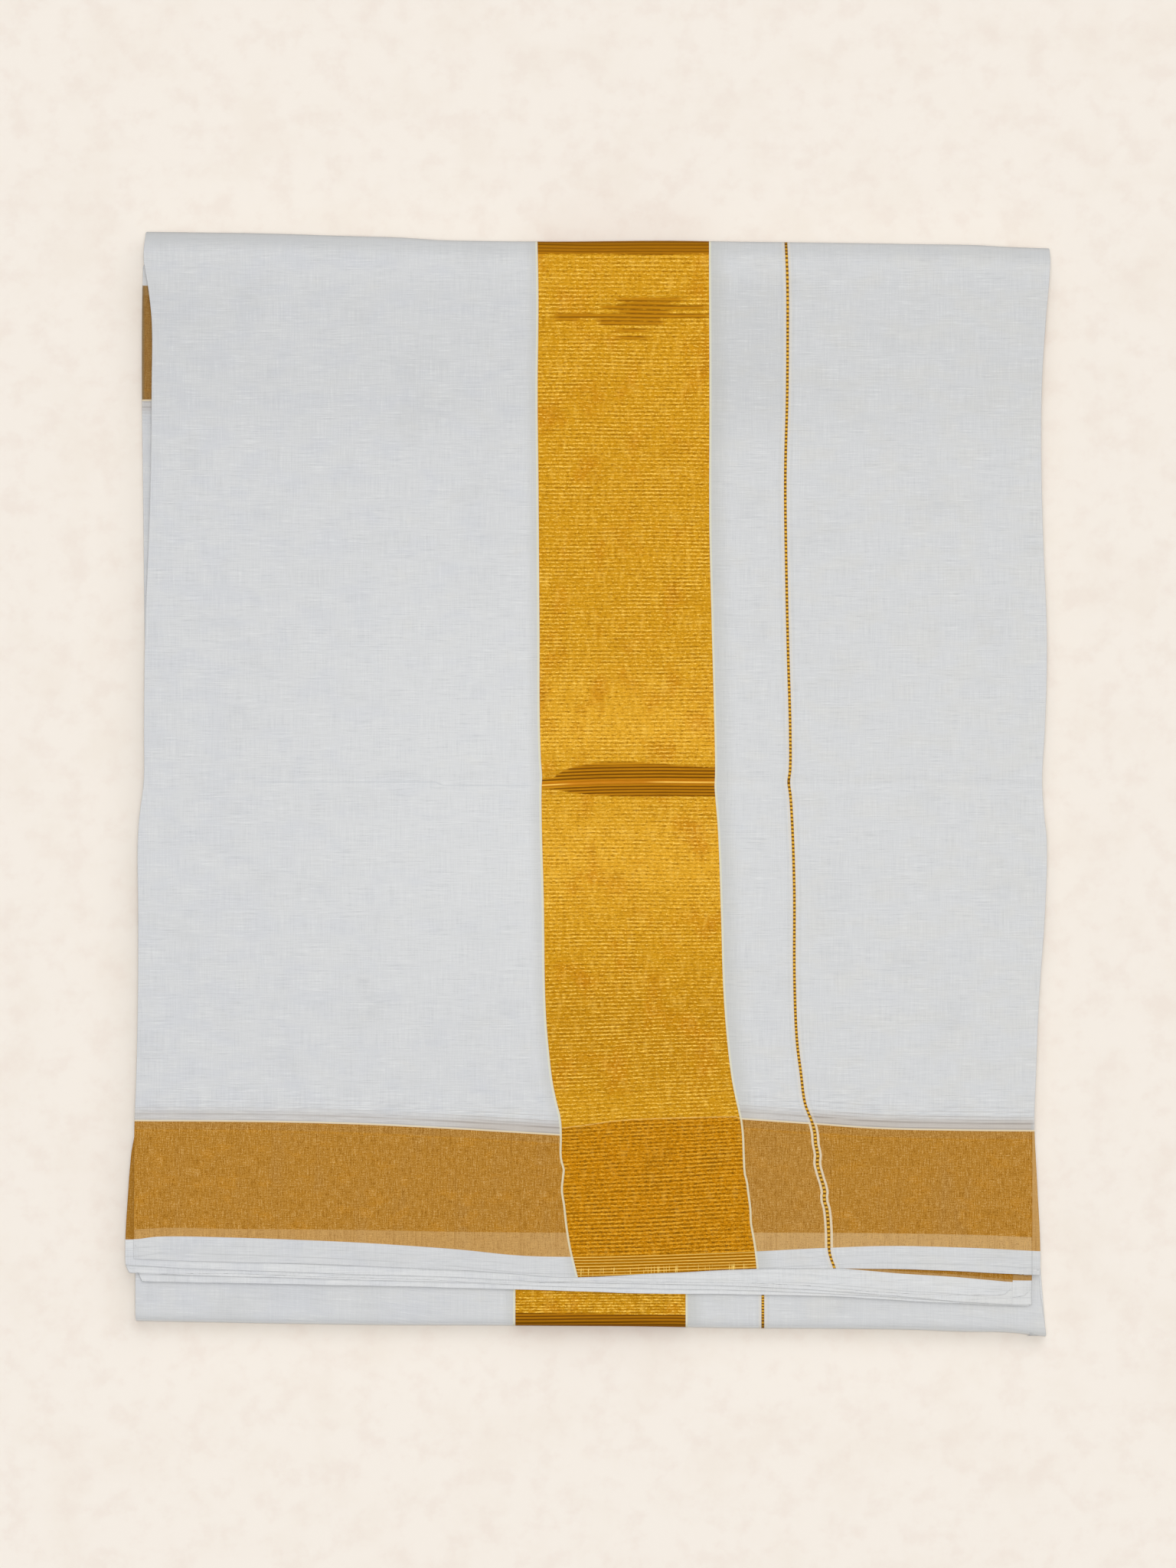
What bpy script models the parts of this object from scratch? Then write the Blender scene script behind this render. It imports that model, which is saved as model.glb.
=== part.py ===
"""Saree of sheer white cotton with woven gold borders, folded flat.

The cloth is first folded along its length into a bundle of sixteen plies, 0.34 m wide. The
bundle is then folded twice across its width, so that three panels lie on each other: A on
top, B in the middle and C on the ground. Both selvedges end inside the stack, A's above the
bottom fold and C's below the top fold.

X runs along the cloth's length, Y across it towards the top fold, and Z is up. Tables and
sizes are in millimetres, and the meshes are in metres.
"""

import math
from collections import namedtuple

import bmesh
import bpy

MM = 0.001

# Thickness of the bundle, in walls that each stand for four plies pressed together
WALL = 1.0
GAP = 0.3
PITCH = WALL + GAP
BUNDLE = 4 * PITCH - GAP
HALF_GAP = GAP / 2
FOLD_RADIUS = BUNDLE + HALF_GAP
FOLD_STEPS = 8

# Height of each panel's first face, and of the centres of the two folds
TOP_OF_A = 3 * BUNDLE + 2 * GAP
BOTTOM_OF_B = BUNDLE + GAP
TOP_OF_C = BUNDLE
TOP_FOLD_HEIGHT = TOP_OF_A - FOLD_RADIUS
BOTTOM_FOLD_HEIGHT = TOP_OF_C + HALF_GAP

# The bundle's plies, by how deep each lies under the first one
FIRST, SECOND, THIRD, LAST = (PITCH * k for k in range(4))

# Borders, measured from the selvedge, and the broad band, measured along the cloth
SELVEDGE_STRIP = 9.0
BORDER_TOP = 52.0
TOP_BAND = (-18.9, 45.8)
LOWER_BAND = (-27.0, 37.0)

# Relief of the top panel, and how far the overhanging top fold sags
CROWN = 0.6
CREASE_DEPTH = 0.3
CREASE_PLACE = 0.475
CREASE_WIDTH = 0.012
SAG = 1.5
SAG_START = 197.0
SAG_END = 208.4
CORNER_ROUNDING = 1.2

# Hidden plies: how far their two lips stand back from the sides, and the groove between
LIP_INSETS = ((1.4, 0.6), (0.6, 1.5))
LIP_WAVE = 0.5
LIP_WAVE_LENGTHS = (61.0, 83.0)
LIP_CHAMFER = 0.3
GROOVE_DEPTH = 4.0

# Share of panel B at which a hidden outer ply passes from one stretch to the next
HANDOVER = 0.05
HANDOVER_GAP = 0.0009

# Where the selvedge stretches stop and the hidden plies begin
INNER_START = 0.165
INNER_END = 0.945
SEAM_GAP = 0.001

Sides = namedtuple("Sides", "y a_left a_right b_left b_right c_left c_right")
SIDES = (
    Sides(209, -167.0, 174.2, -166.4, 173.6, -167.6, 171.0),
    Sides(198, -167.6, 174.4, -166.6, 173.2, -167.8, 171.0),
    Sides(188, -166.0, 174.0, -165.2, 172.8, -168.3, 170.6),
    Sides(175, -164.6, 172.7, -164.0, 171.6, -168.4, 170.0),
    Sides(150, -164.6, 171.0, -163.8, 170.0, -168.5, 169.4),
    Sides(120, -164.9, 170.9, -164.0, 169.6, -168.2, 169.0),
    Sides(95, -165.6, 171.5, -164.8, 170.4, -167.9, 169.4),
    Sides(60, -167.0, 172.9, -166.0, 171.6, -167.5, 170.2),
    Sides(45, -167.3, 173.3, -166.3, 172.0, -167.4, 170.6),
    Sides(20, -167.5, 172.5, -166.6, 171.4, -167.3, 170.4),
    Sides(1, -167.6, 171.2, -166.8, 170.2, -167.4, 169.6),
    Sides(-12, -169.2, 172.2, -168.2, 171.0, -168.0, 170.0),
    Sides(-20, -170.0, 173.1, -169.0, 171.8, -168.4, 170.4),
    Sides(-50, -170.1, 172.1, -169.4, 171.0, -168.8, 169.8),
    Sides(-80, -170.1, 170.1, -169.4, 169.2, -169.0, 168.4),
    Sides(-110, -170.6, 168.8, -169.8, 168.2, -169.2, 167.6),
    Sides(-128, -171.1, 168.3, -170.2, 168.4, -169.4, 168.0),
    Sides(-150, -171.3, 169.5, -170.6, 169.4, -169.6, 169.0),
    Sides(-175, -171.5, 170.8, -170.8, 170.4, -169.8, 170.6),
    Sides(-190, -171.4, 170.6, -170.8, 170.6, -169.9, 171.6),
    Sides(-198, -171.4, 170.6, -170.6, 171.8, -169.9, 172.4),
    Sides(-209, -171.4, 170.6, -169.8, 173.4, -169.8, 173.4),
)

# Sides of the lower plies where their selvedges step out of panel A
StepSides = namedtuple("StepSides", "y second_left second_right third_left third_right last_left last_right")
STEP_SIDES = (
    StepSides(-110, -170.0, 167.6, -169.4, 167.2, -169.2, 167.0),
    StepSides(-130, -170.8, 167.0, -170.0, 167.0, -169.6, 166.8),
    StepSides(-138, -172.6, 166.4, -171.6, 167.2, -169.8, 166.8),
    StepSides(-155, -173.6, 165.2, -172.8, 167.6, -169.9, 166.8),
    StepSides(-172, -174.4, 162.8, -173.9, 167.8, -169.9, 166.9),
    StepSides(-181, -174.2, 161.2, -174.2, 167.8, -169.8, 166.9),
    StepSides(-185, -174.0, 160.8, -173.2, 167.8, -169.8, 166.9),
    StepSides(-197, -173.8, 160.5, -172.8, 167.8, -169.6, 166.9),
)

# Selvedges of the four plies where they end on panel A
Selvedge = namedtuple("Selvedge", "x first second third last")
SELVEDGES = (
    Selvedge(-174, -178.8, -180.9, -184.2, -187.6),
    Selvedge(-164, -179.5, -181.8, -184.8, -187.9),
    Selvedge(-93, -181.5, -184.7, -187.0, -189.3),
    Selvedge(-31, -184.4, -186.7, -188.7, -190.7),
    Selvedge(-4, -186.4, -188.1, -189.9, -191.5),
    Selvedge(30, -184.4, -188.7, -190.7, -192.5),
    Selvedge(64, -183.2, -189.6, -191.3, -192.8),
    Selvedge(96, -182.9, -191.0, -192.5, -193.5),
    Selvedge(131, -183.5, -193.6, -194.5, -195.4),
    Selvedge(160, -184.7, -196.0, -196.4, -196.8),
    Selvedge(171, -185.4, -196.5, -196.7, -197.1),
)

# Selvedges of the four plies where they end under panel B, near the top fold
UnderSelvedge = namedtuple("UnderSelvedge", "x first second third last")
UNDER_SELVEDGES = (
    UnderSelvedge(-168, 195.6, 194.4, 196.0, 194.8),
    UnderSelvedge(-90, 195.0, 193.6, 195.2, 194.0),
    UnderSelvedge(0, 193.8, 192.6, 194.4, 193.2),
    UnderSelvedge(90, 194.2, 192.2, 193.4, 192.8),
    UnderSelvedge(172, 192.8, 191.6, 193.2, 192.0),
)

# The two folds seen from above
FoldLine = namedtuple("FoldLine", "x top bottom")
FOLD_LINES = (
    FoldLine(-170, 208.4, -202.6),
    FoldLine(-122, 207.5, -203.3),
    FoldLine(-71, 206.1, -203.7),
    FoldLine(-41, 204.9, -203.9),
    FoldLine(-11, 204.6, -204.2),
    FoldLine(30, 205.2, -204.5),
    FoldLine(80, 203.7, -205.1),
    FoldLine(125, 203.5, -205.9),
    FoldLine(160, 202.5, -206.8),
    FoldLine(174, 202.0, -208.4),
)

# How far the weft has been drawn along the cloth, from the tight border's pull
Drift = namedtuple("Drift", "y shift")
TOP_DRIFT = (
    Drift(208, 0.0),
    Drift(60, 0.6),
    Drift(-80, 3.0),
    Drift(-128, 8.0),
    Drift(-150, 10.5),
    Drift(-170, 11.5),
    Drift(-187, 15.5),
)

# Finishes: base colour, roughness and metallic value
Finish = namedtuple("Finish", "colour roughness metallic")
COTTON = Finish((0.66, 0.66, 0.67), 0.85, 0.0)
GOLD_THREAD = Finish((0.62, 0.33, 0.05), 0.42, 0.6)
FOLDED_EDGES = Finish((0.6, 0.6, 0.61), 0.9, 0.0)

# Rows of each panel, as shares of the way between its two ends
TOP_ROWS = (0.0, 0.06, 0.1, 0.2, 0.3, 0.4, 0.455, 0.475, 0.495, 0.54, 0.6, 0.68, 0.78, 0.85, 0.9, 0.94, 0.97)
HIDDEN_ROWS = (0.02, 0.15, 0.3, 0.45, 0.6, 0.75, 0.88)
STRIP_ROWS = (0.15, 0.3, 0.45, 0.6, 0.72, 0.8, 0.88, 0.94, 1.0)
LOWER_ROWS = (0.95, 0.985)
STEP_ROWS = (0.0, 0.08, 0.11)
INNER_ROWS = (0.25, 0.4, 0.475, 0.55, 0.7, 0.8, 0.9, 0.97)
PLAIN_COLUMNS = (0.0, 0.03, 0.15, 0.28, 0.76, 0.93, 1.0)


def band_edges(band):
    """A band's two edges as shares of the way across the cloth."""
    left, right = SIDES[0].a_left, SIDES[0].a_right
    return tuple((edge - left) / (right - left) for edge in band)


COLUMNS = sorted({*PLAIN_COLUMNS, *band_edges(TOP_BAND), *band_edges(LOWER_BAND)})


def table_value(table, column, place):
    """Value of a named column where the table's first column is at a place, between its rows."""
    rows = sorted(table)
    if place <= rows[0][0]:
        return getattr(rows[0], column)
    for low, high in zip(rows, rows[1:]):
        if place <= high[0]:
            share = (place - low[0]) / (high[0] - low[0])
            return between(getattr(low, column), getattr(high, column), share)
    return getattr(rows[-1], column)


def between(start, end, share):
    return start + (end - start) * share


def ply_name(depth):
    """Column name of the ply whose first face lies at a depth in the bundle."""
    return ("first", "second", "third", "last")[min(3, round(depth / PITCH))]


def panel_sides(panel, y, depth):
    """Left and right side of a panel's ply at a place across the cloth."""
    name = ply_name(depth)
    if panel == "a" and name != "first" and y < STEP_SIDES[0].y:
        return (
            table_value(STEP_SIDES, name + "_left", y),
            table_value(STEP_SIDES, name + "_right", y),
        )
    return table_value(SIDES, panel + "_left", y), table_value(SIDES, panel + "_right", y)


def step_of(table, x, depth, in_from_end):
    """Place of a ply's selvedge, whose step from the last one's fades where the hidden plies begin."""
    name = ply_name(depth)
    own, last = table_value(table, name, x), table_value(table, "last", x)
    if name == "first" and table is SELVEDGES:
        return own
    return last + (own - last) * max(0.0, 1 - in_from_end)


def relief(across, along):
    """Height of the top panel's soft crown and of the crease pressed across it."""
    crown = CROWN * 16 * across * (1 - across) * along * (1 - along)
    crease = CREASE_DEPTH * math.exp(-(((along - CREASE_PLACE) / CREASE_WIDTH) ** 2))
    return crown - crease


def sag(y):
    """Drop of the top fold, which nothing carries beyond the lowest panel's selvedge."""
    reach = max(0.0, (y - SAG_START) / (SAG_END - SAG_START))
    return SAG * min(1.0, reach) ** 2


def cloth_point(station, across, depth, inset=0.0):
    """Point of the folded bundle.

    A station is a panel or a fold and the share of the way through it, across is the share of
    the way from the left side to the right one, and inset moves a point in from its side.
    """
    place, share = station
    nearly_x = between(SIDES[0].a_left, SIDES[0].a_right, across)
    top = table_value(FOLD_LINES, "top", nearly_x) - FOLD_RADIUS
    bottom = table_value(FOLD_LINES, "bottom", nearly_x) + FOLD_RADIUS
    angle = math.pi * share
    corner = 0.0
    if place == "a":
        y = between(step_of(SELVEDGES, nearly_x, depth, share / INNER_START), top, share)
        z = TOP_OF_A - depth + relief(across, share) * (1 - depth / BUNDLE)
        left, right = panel_sides("a", y, depth)
    elif place == "top_fold":
        radius = FOLD_RADIUS - depth
        y = top + radius * math.sin(angle)
        z = TOP_FOLD_HEIGHT + radius * math.cos(angle)
        upper, lower = panel_sides("a", y, depth), panel_sides("b", y, depth)
        left, right = between(upper[0], lower[0], share), between(upper[1], lower[1], share)
        corner = CORNER_ROUNDING * (1 - math.cos(math.asin(math.sin(angle))))
    elif place == "b":
        y = between(top, bottom, share)
        z = BOTTOM_OF_B + depth
        left, right = panel_sides("b", y, depth)
    elif place == "bottom_fold":
        radius = HALF_GAP + depth
        y = bottom - radius * math.sin(angle)
        z = BOTTOM_FOLD_HEIGHT + radius * math.cos(angle)
        upper, lower = panel_sides("b", y, depth), panel_sides("c", y, depth)
        left, right = between(upper[0], lower[0], share), between(upper[1], lower[1], share)
        corner = CORNER_ROUNDING * (1 - math.cos(math.asin(math.sin(angle))))
    else:
        in_from_end = (1 - share) / (1 - INNER_END)
        y = between(bottom, step_of(UNDER_SELVEDGES, nearly_x, depth, in_from_end), share)
        z = TOP_OF_C - depth
        left, right = panel_sides("c", y, depth)
    if place in ("a", "top_fold", "b"):
        z -= sag(y)
    x = between(left + corner, right - corner, across)
    if place == "a" and ply_name(depth) == "first":
        x += table_value(TOP_DRIFT, "shift", y) * 4 * across * (1 - across)
    x += inset if across < 0.5 else -inset
    return (x * MM, y * MM, z * MM)


def border_rows(length, shares, from_start):
    """Shares of a panel with the border's two edges added, counted from its selvedge end."""
    edges = [SELVEDGE_STRIP / length, BORDER_TOP / length]
    if not from_start:
        edges = [1 - edge for edge in edges]
    return sorted(set(shares) | set(edges))


def run(place, shares, start=0.0, end=1.0):
    """Stations of one panel or fold between two shares of the way through it."""
    inside = [share for share in shares if start < share < end]
    return [(place, share) for share in [start, *inside, end]]


def joined(*runs):
    """Stations of several runs in a row, without the doubled ones where two runs meet."""
    stations = list(runs[0])
    for following in runs[1:]:
        stations += following[1:]
    return stations


def fold(place):
    return [(place, step / FOLD_STEPS) for step in range(FOLD_STEPS + 1)]


def principled(name, finish):
    material = bpy.data.materials.new(name)
    material.use_nodes = True
    shader = material.node_tree.nodes["Principled BSDF"]
    shader.inputs["Base Color"].default_value = (*finish.colour, 1.0)
    shader.inputs["Roughness"].default_value = finish.roughness
    shader.inputs["Metallic"].default_value = finish.metallic
    return material


def is_gold(station, across, band, border):
    """Whether a patch of a ply lies in the broad band or in the border along its selvedge."""
    place, share = station
    if band and band[0] < across < band[1]:
        return True
    return place == border[0] and border[1] < share < border[2]


def middle_of(near, far):
    """Station halfway between two, or the second one where a panel meets a fold."""
    return (near[0], (near[1] + far[1]) / 2) if near[0] == far[0] else far


def ply(name, depth, stations, border, band=None):
    """One wall of cloth: a grid laid along its stations, then given its thickness."""
    grid = bmesh.new()
    wide, long = len(COLUMNS) - 1, len(stations) - 1
    bmesh.ops.create_grid(grid, x_segments=wide, y_segments=long, size=0.5)
    place_of = {
        vertex: (round((vertex.co.x + 0.5) * wide), round((vertex.co.y + 0.5) * long))
        for vertex in grid.verts
    }
    edges = band_edges(band) if band else None
    for face in grid.faces:
        column, row = (min(place_of[vertex][axis] for vertex in face.verts) for axis in (0, 1))
        across = (COLUMNS[column] + COLUMNS[column + 1]) / 2
        station = middle_of(stations[row], stations[row + 1])
        face.material_index = int(is_gold(station, across, edges, border))
        face.smooth = True
    for vertex, (column, row) in place_of.items():
        vertex.co = cloth_point(stations[row], COLUMNS[column], depth)
    mesh = bpy.data.meshes.new(name)
    grid.to_mesh(mesh)
    grid.free()
    mesh.materials.append(principled(name + " cotton", COTTON))
    mesh.materials.append(principled(name + " gold", GOLD_THREAD))
    piece = bpy.data.objects.new(name, mesh)
    thickness = piece.modifiers.new("Thickness", "SOLIDIFY")
    thickness.thickness = WALL * MM
    thickness.offset = -1.0
    thickness.use_even_offset = True
    thickness.use_quality_normals = True
    return piece


def lip_section(station):
    """Closed ring of points round the hidden plies at a station, with a groove on each side."""
    lips = (SECOND, SECOND + WALL), (THIRD, THIRD + WALL)
    ring = [cloth_point(station, across, SECOND) for across in COLUMNS[1:-1]]
    place, share = station
    wave = [LIP_WAVE * math.sin(math.tau * share * 400 / length) for length in LIP_WAVE_LENGTHS]
    root = (lips[0][1] + lips[1][0]) / 2

    def side(across, order):
        points = []
        for number in order:
            upper, lower = lips[number]
            inset = LIP_INSETS[number][0 if across == 0.0 else 1] + wave[number]
            corners = [
                (upper, inset + LIP_CHAMFER),
                (upper + LIP_CHAMFER, inset),
                (lower - LIP_CHAMFER, inset),
                (lower, inset + LIP_CHAMFER),
            ]
            if order[0] == 1:
                corners.reverse()
            points += [cloth_point(station, across, deep, back) for deep, back in corners]
            if number == order[0]:
                points.append(cloth_point(station, across, root, GROOVE_DEPTH))
        return points

    ring += side(1.0, (0, 1))
    ring += [cloth_point(station, across, THIRD + WALL) for across in COLUMNS[-2:0:-1]]
    ring += side(0.0, (1, 0))
    return ring


def close_end(solid, ring):
    """Close a section column by column, because its end follows the curve of the selvedge."""
    inner = len(COLUMNS) - 2
    side = len(ring) // 2 - inner
    top, right = ring[:inner], ring[inner:inner + side]
    bottom, left = ring[inner + side:-side], ring[-side:]
    for near, far in zip(range(inner - 1), range(inner - 1, 0, -1)):
        solid.faces.new((top[near], top[near + 1], bottom[far - 1], bottom[far]))
    solid.faces.new((top[-1], *right, bottom[0]))
    solid.faces.new((bottom[-1], *left, top[0]))


def hidden_plies(name, stations):
    """The plies between the outer ones, as one solid lofted through its sections."""
    solid = bmesh.new()
    rings = [[solid.verts.new(point) for point in lip_section(station)] for station in stations]
    for near, far in zip(rings, rings[1:]):
        for index in range(len(near)):
            after = (index + 1) % len(near)
            solid.faces.new((near[index], near[after], far[after], far[index]))
    close_end(solid, rings[0])
    close_end(solid, rings[-1])
    bmesh.ops.recalc_face_normals(solid, faces=solid.faces)
    mesh = bpy.data.meshes.new(name)
    solid.to_mesh(mesh)
    solid.free()
    mesh.materials.append(principled(name + " cotton", FOLDED_EDGES))
    return bpy.data.objects.new(name, mesh)


def build():
    for leftover in list(bpy.data.objects):
        bpy.data.objects.remove(leftover, do_unlink=True)
    saree = bpy.data.collections.new("folded_saree")
    bpy.context.scene.collection.children.link(saree)

    length = SAG_START - SELVEDGES[5].first
    strip, top = SELVEDGE_STRIP / length, BORDER_TOP / length
    a_border, c_border = ("a", strip, top), ("c", 1 - top, 1 - strip)
    a_rows = border_rows(length, TOP_ROWS, True)
    c_rows = border_rows(length, STRIP_ROWS, False)
    b_rows = HIDDEN_ROWS + LOWER_ROWS
    last_rows = border_rows(length, STEP_ROWS + INNER_ROWS, True)
    b_start, b_end = HANDOVER, 1 - HANDOVER

    over_the_top = joined(run("a", a_rows), fold("top_fold"), run("b", HIDDEN_ROWS, end=b_end))
    under_to_left = joined(run("b", (), start=b_end + HANDOVER_GAP), fold("bottom_fold"), run("c", c_rows))
    round_the_bottom = joined(run("b", b_rows, start=b_start), fold("bottom_fold"), run("c", c_rows))
    last_step = joined(run("a", last_rows), fold("top_fold"), run("b", b_rows, end=b_start - HANDOVER_GAP))
    between_them = joined(
        run("a", INNER_ROWS, start=INNER_START),
        fold("top_fold"),
        run("b", b_rows),
        fold("bottom_fold"),
        run("c", STRIP_ROWS, end=INNER_END),
    )
    pieces = [
        ply("top_panel", FIRST, over_the_top, a_border, TOP_BAND),
        ply("left_strip", FIRST, under_to_left, c_border, TOP_BAND),
        ply("lower_panel", LAST, round_the_bottom, c_border, LOWER_BAND),
        ply("selvedge_ply_4", LAST, last_step, a_border, LOWER_BAND),
        hidden_plies("inner_plies", between_them),
    ]
    step = run("a", border_rows(length, STEP_ROWS, True), end=INNER_START - SEAM_GAP)
    under = run("c", border_rows(length, (), False), start=INNER_END + SEAM_GAP)
    for number, depth in ((2, SECOND), (3, THIRD)):
        pieces.append(ply(f"selvedge_ply_{number}", depth, step, a_border))
        pieces.append(ply(f"under_ply_{number}", depth, under, c_border))
    for piece in pieces:
        saree.objects.link(piece)


build()
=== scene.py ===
"""Looks of a saree of sheer white cotton with woven gold borders, folded flat.

The cloth is a bundle of sixteen plies that is folded twice across its width, so that three
panels lie on each other: the top panel, the middle panel and the lowest panel. Every sheet
here follows that one fold. Sizes are in millimetres and colours are sRGB hex values, and both
are turned into Blender's own units where a mesh or a material is made.
"""

import logging
import math
from collections.abc import Iterable
from dataclasses import dataclass, field
from enum import Enum
from functools import reduce

import bpy
import numpy as np
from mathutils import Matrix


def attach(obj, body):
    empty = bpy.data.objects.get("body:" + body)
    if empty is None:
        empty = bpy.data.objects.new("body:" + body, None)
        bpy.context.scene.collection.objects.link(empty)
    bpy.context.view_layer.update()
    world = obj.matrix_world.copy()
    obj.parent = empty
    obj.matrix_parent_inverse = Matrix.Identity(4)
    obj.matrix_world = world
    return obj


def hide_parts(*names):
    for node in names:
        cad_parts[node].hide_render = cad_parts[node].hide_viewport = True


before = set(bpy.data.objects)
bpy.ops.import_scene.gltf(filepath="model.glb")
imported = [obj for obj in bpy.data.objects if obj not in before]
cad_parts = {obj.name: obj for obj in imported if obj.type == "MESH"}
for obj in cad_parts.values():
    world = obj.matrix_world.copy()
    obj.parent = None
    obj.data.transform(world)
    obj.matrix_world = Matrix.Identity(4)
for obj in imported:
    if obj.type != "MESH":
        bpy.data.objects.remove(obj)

MM = 0.001

# The weave coordinate stretches a ply's depth by this much, so that no two plies look alike
PLY_SPREAD = 40.0

log = logging.getLogger("saree")


@dataclass(frozen=True)
class Profile:
    """A size read at a few places and joined by one smooth line.

    Attributes:
        points: (place, size) pairs, in millimetres.
    """

    points: tuple[tuple[float, float], ...]

    def __call__(self, place: np.ndarray | float) -> np.ndarray:
        """Reads the size at each place.

        Args:
            place: where to read, in millimetres.

        Returns:
            The size at each place, level beyond the first and last point.
        """
        at, size = (np.array(column, dtype=float) for column in zip(*sorted(self.points)))
        slope = np.diff(size) / np.diff(at)
        tangent = np.concatenate(([slope[0]], (slope[:-1] + slope[1:]) / 2, [slope[-1]]))
        where = np.clip(np.asarray(place, dtype=float), at[0], at[-1])
        low = np.clip(np.searchsorted(at, where, side="right") - 1, 0, len(at) - 2)
        step = at[low + 1] - at[low]
        share = (where - at[low]) / step
        rise = share * share * (3 - 2 * share)
        start = share * (1 - share) ** 2 * step * tangent[low]
        end = share * share * (share - 1) * step * tangent[low + 1]
        return size[low] * (1 - rise) + size[low + 1] * rise + start + end


def profiles(places: tuple[float, ...], *sizes: tuple[float, ...]) -> tuple[Profile, ...]:
    """Makes several profiles that are read at the same places."""
    return tuple(Profile(tuple(zip(places, row))) for row in sizes)


class Stretch(Enum):
    """A stretch of the bundle's way through the stack, from one selvedge to the other."""

    TOP_PANEL = "top panel"
    TOP_FOLD = "top fold"
    MIDDLE_PANEL = "middle panel"
    BOTTOM_FOLD = "bottom fold"
    LOWEST_PANEL = "lowest panel"


@dataclass(frozen=True)
class Station:
    """A place on the bundle's way: a stretch and the share of the way through it."""

    stretch: Stretch
    share: float


@dataclass(frozen=True)
class Section:
    """A sheet's cross-section from one side of the stack to the other.

    Attributes:
        across: share of the way from the left side to the right one, at each point.
        depth: depth under the bundle's first face, in millimetres.
        inset: distance in from the nearer side, in millimetres.
        closed: whether the last point joins the first.
    """

    across: np.ndarray
    depth: np.ndarray
    inset: np.ndarray
    closed: bool = False


@dataclass(frozen=True)
class Crease:
    """A soft trough, or a ridge if its depth is negative, pressed into the top panel.

    Attributes:
        path: (x, y) points that it follows.
        depth: depth of the trough at its middle.
        width: distance over which it fades to each side.
        fade: distance over which it fades at each end.
    """

    path: tuple[tuple[float, float], ...]
    depth: float
    width: float
    fade: float = 12.0

    def height(self, x: np.ndarray, y: np.ndarray) -> np.ndarray:
        """Gives the change of height that the crease makes.

        Args:
            x: places along the cloth.
            y: places across the cloth.

        Returns:
            The height at each place, below zero in a trough.
        """
        start, end = self.path[0][0], self.path[-1][0]
        off = (y - Profile(self.path)(x)) / self.width
        ends = np.clip((x - start) / self.fade, 0, 1) * np.clip((end - x) / self.fade, 0, 1)
        return -self.depth * np.exp(-off * off) * ends * ends * (3 - 2 * ends)


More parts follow.
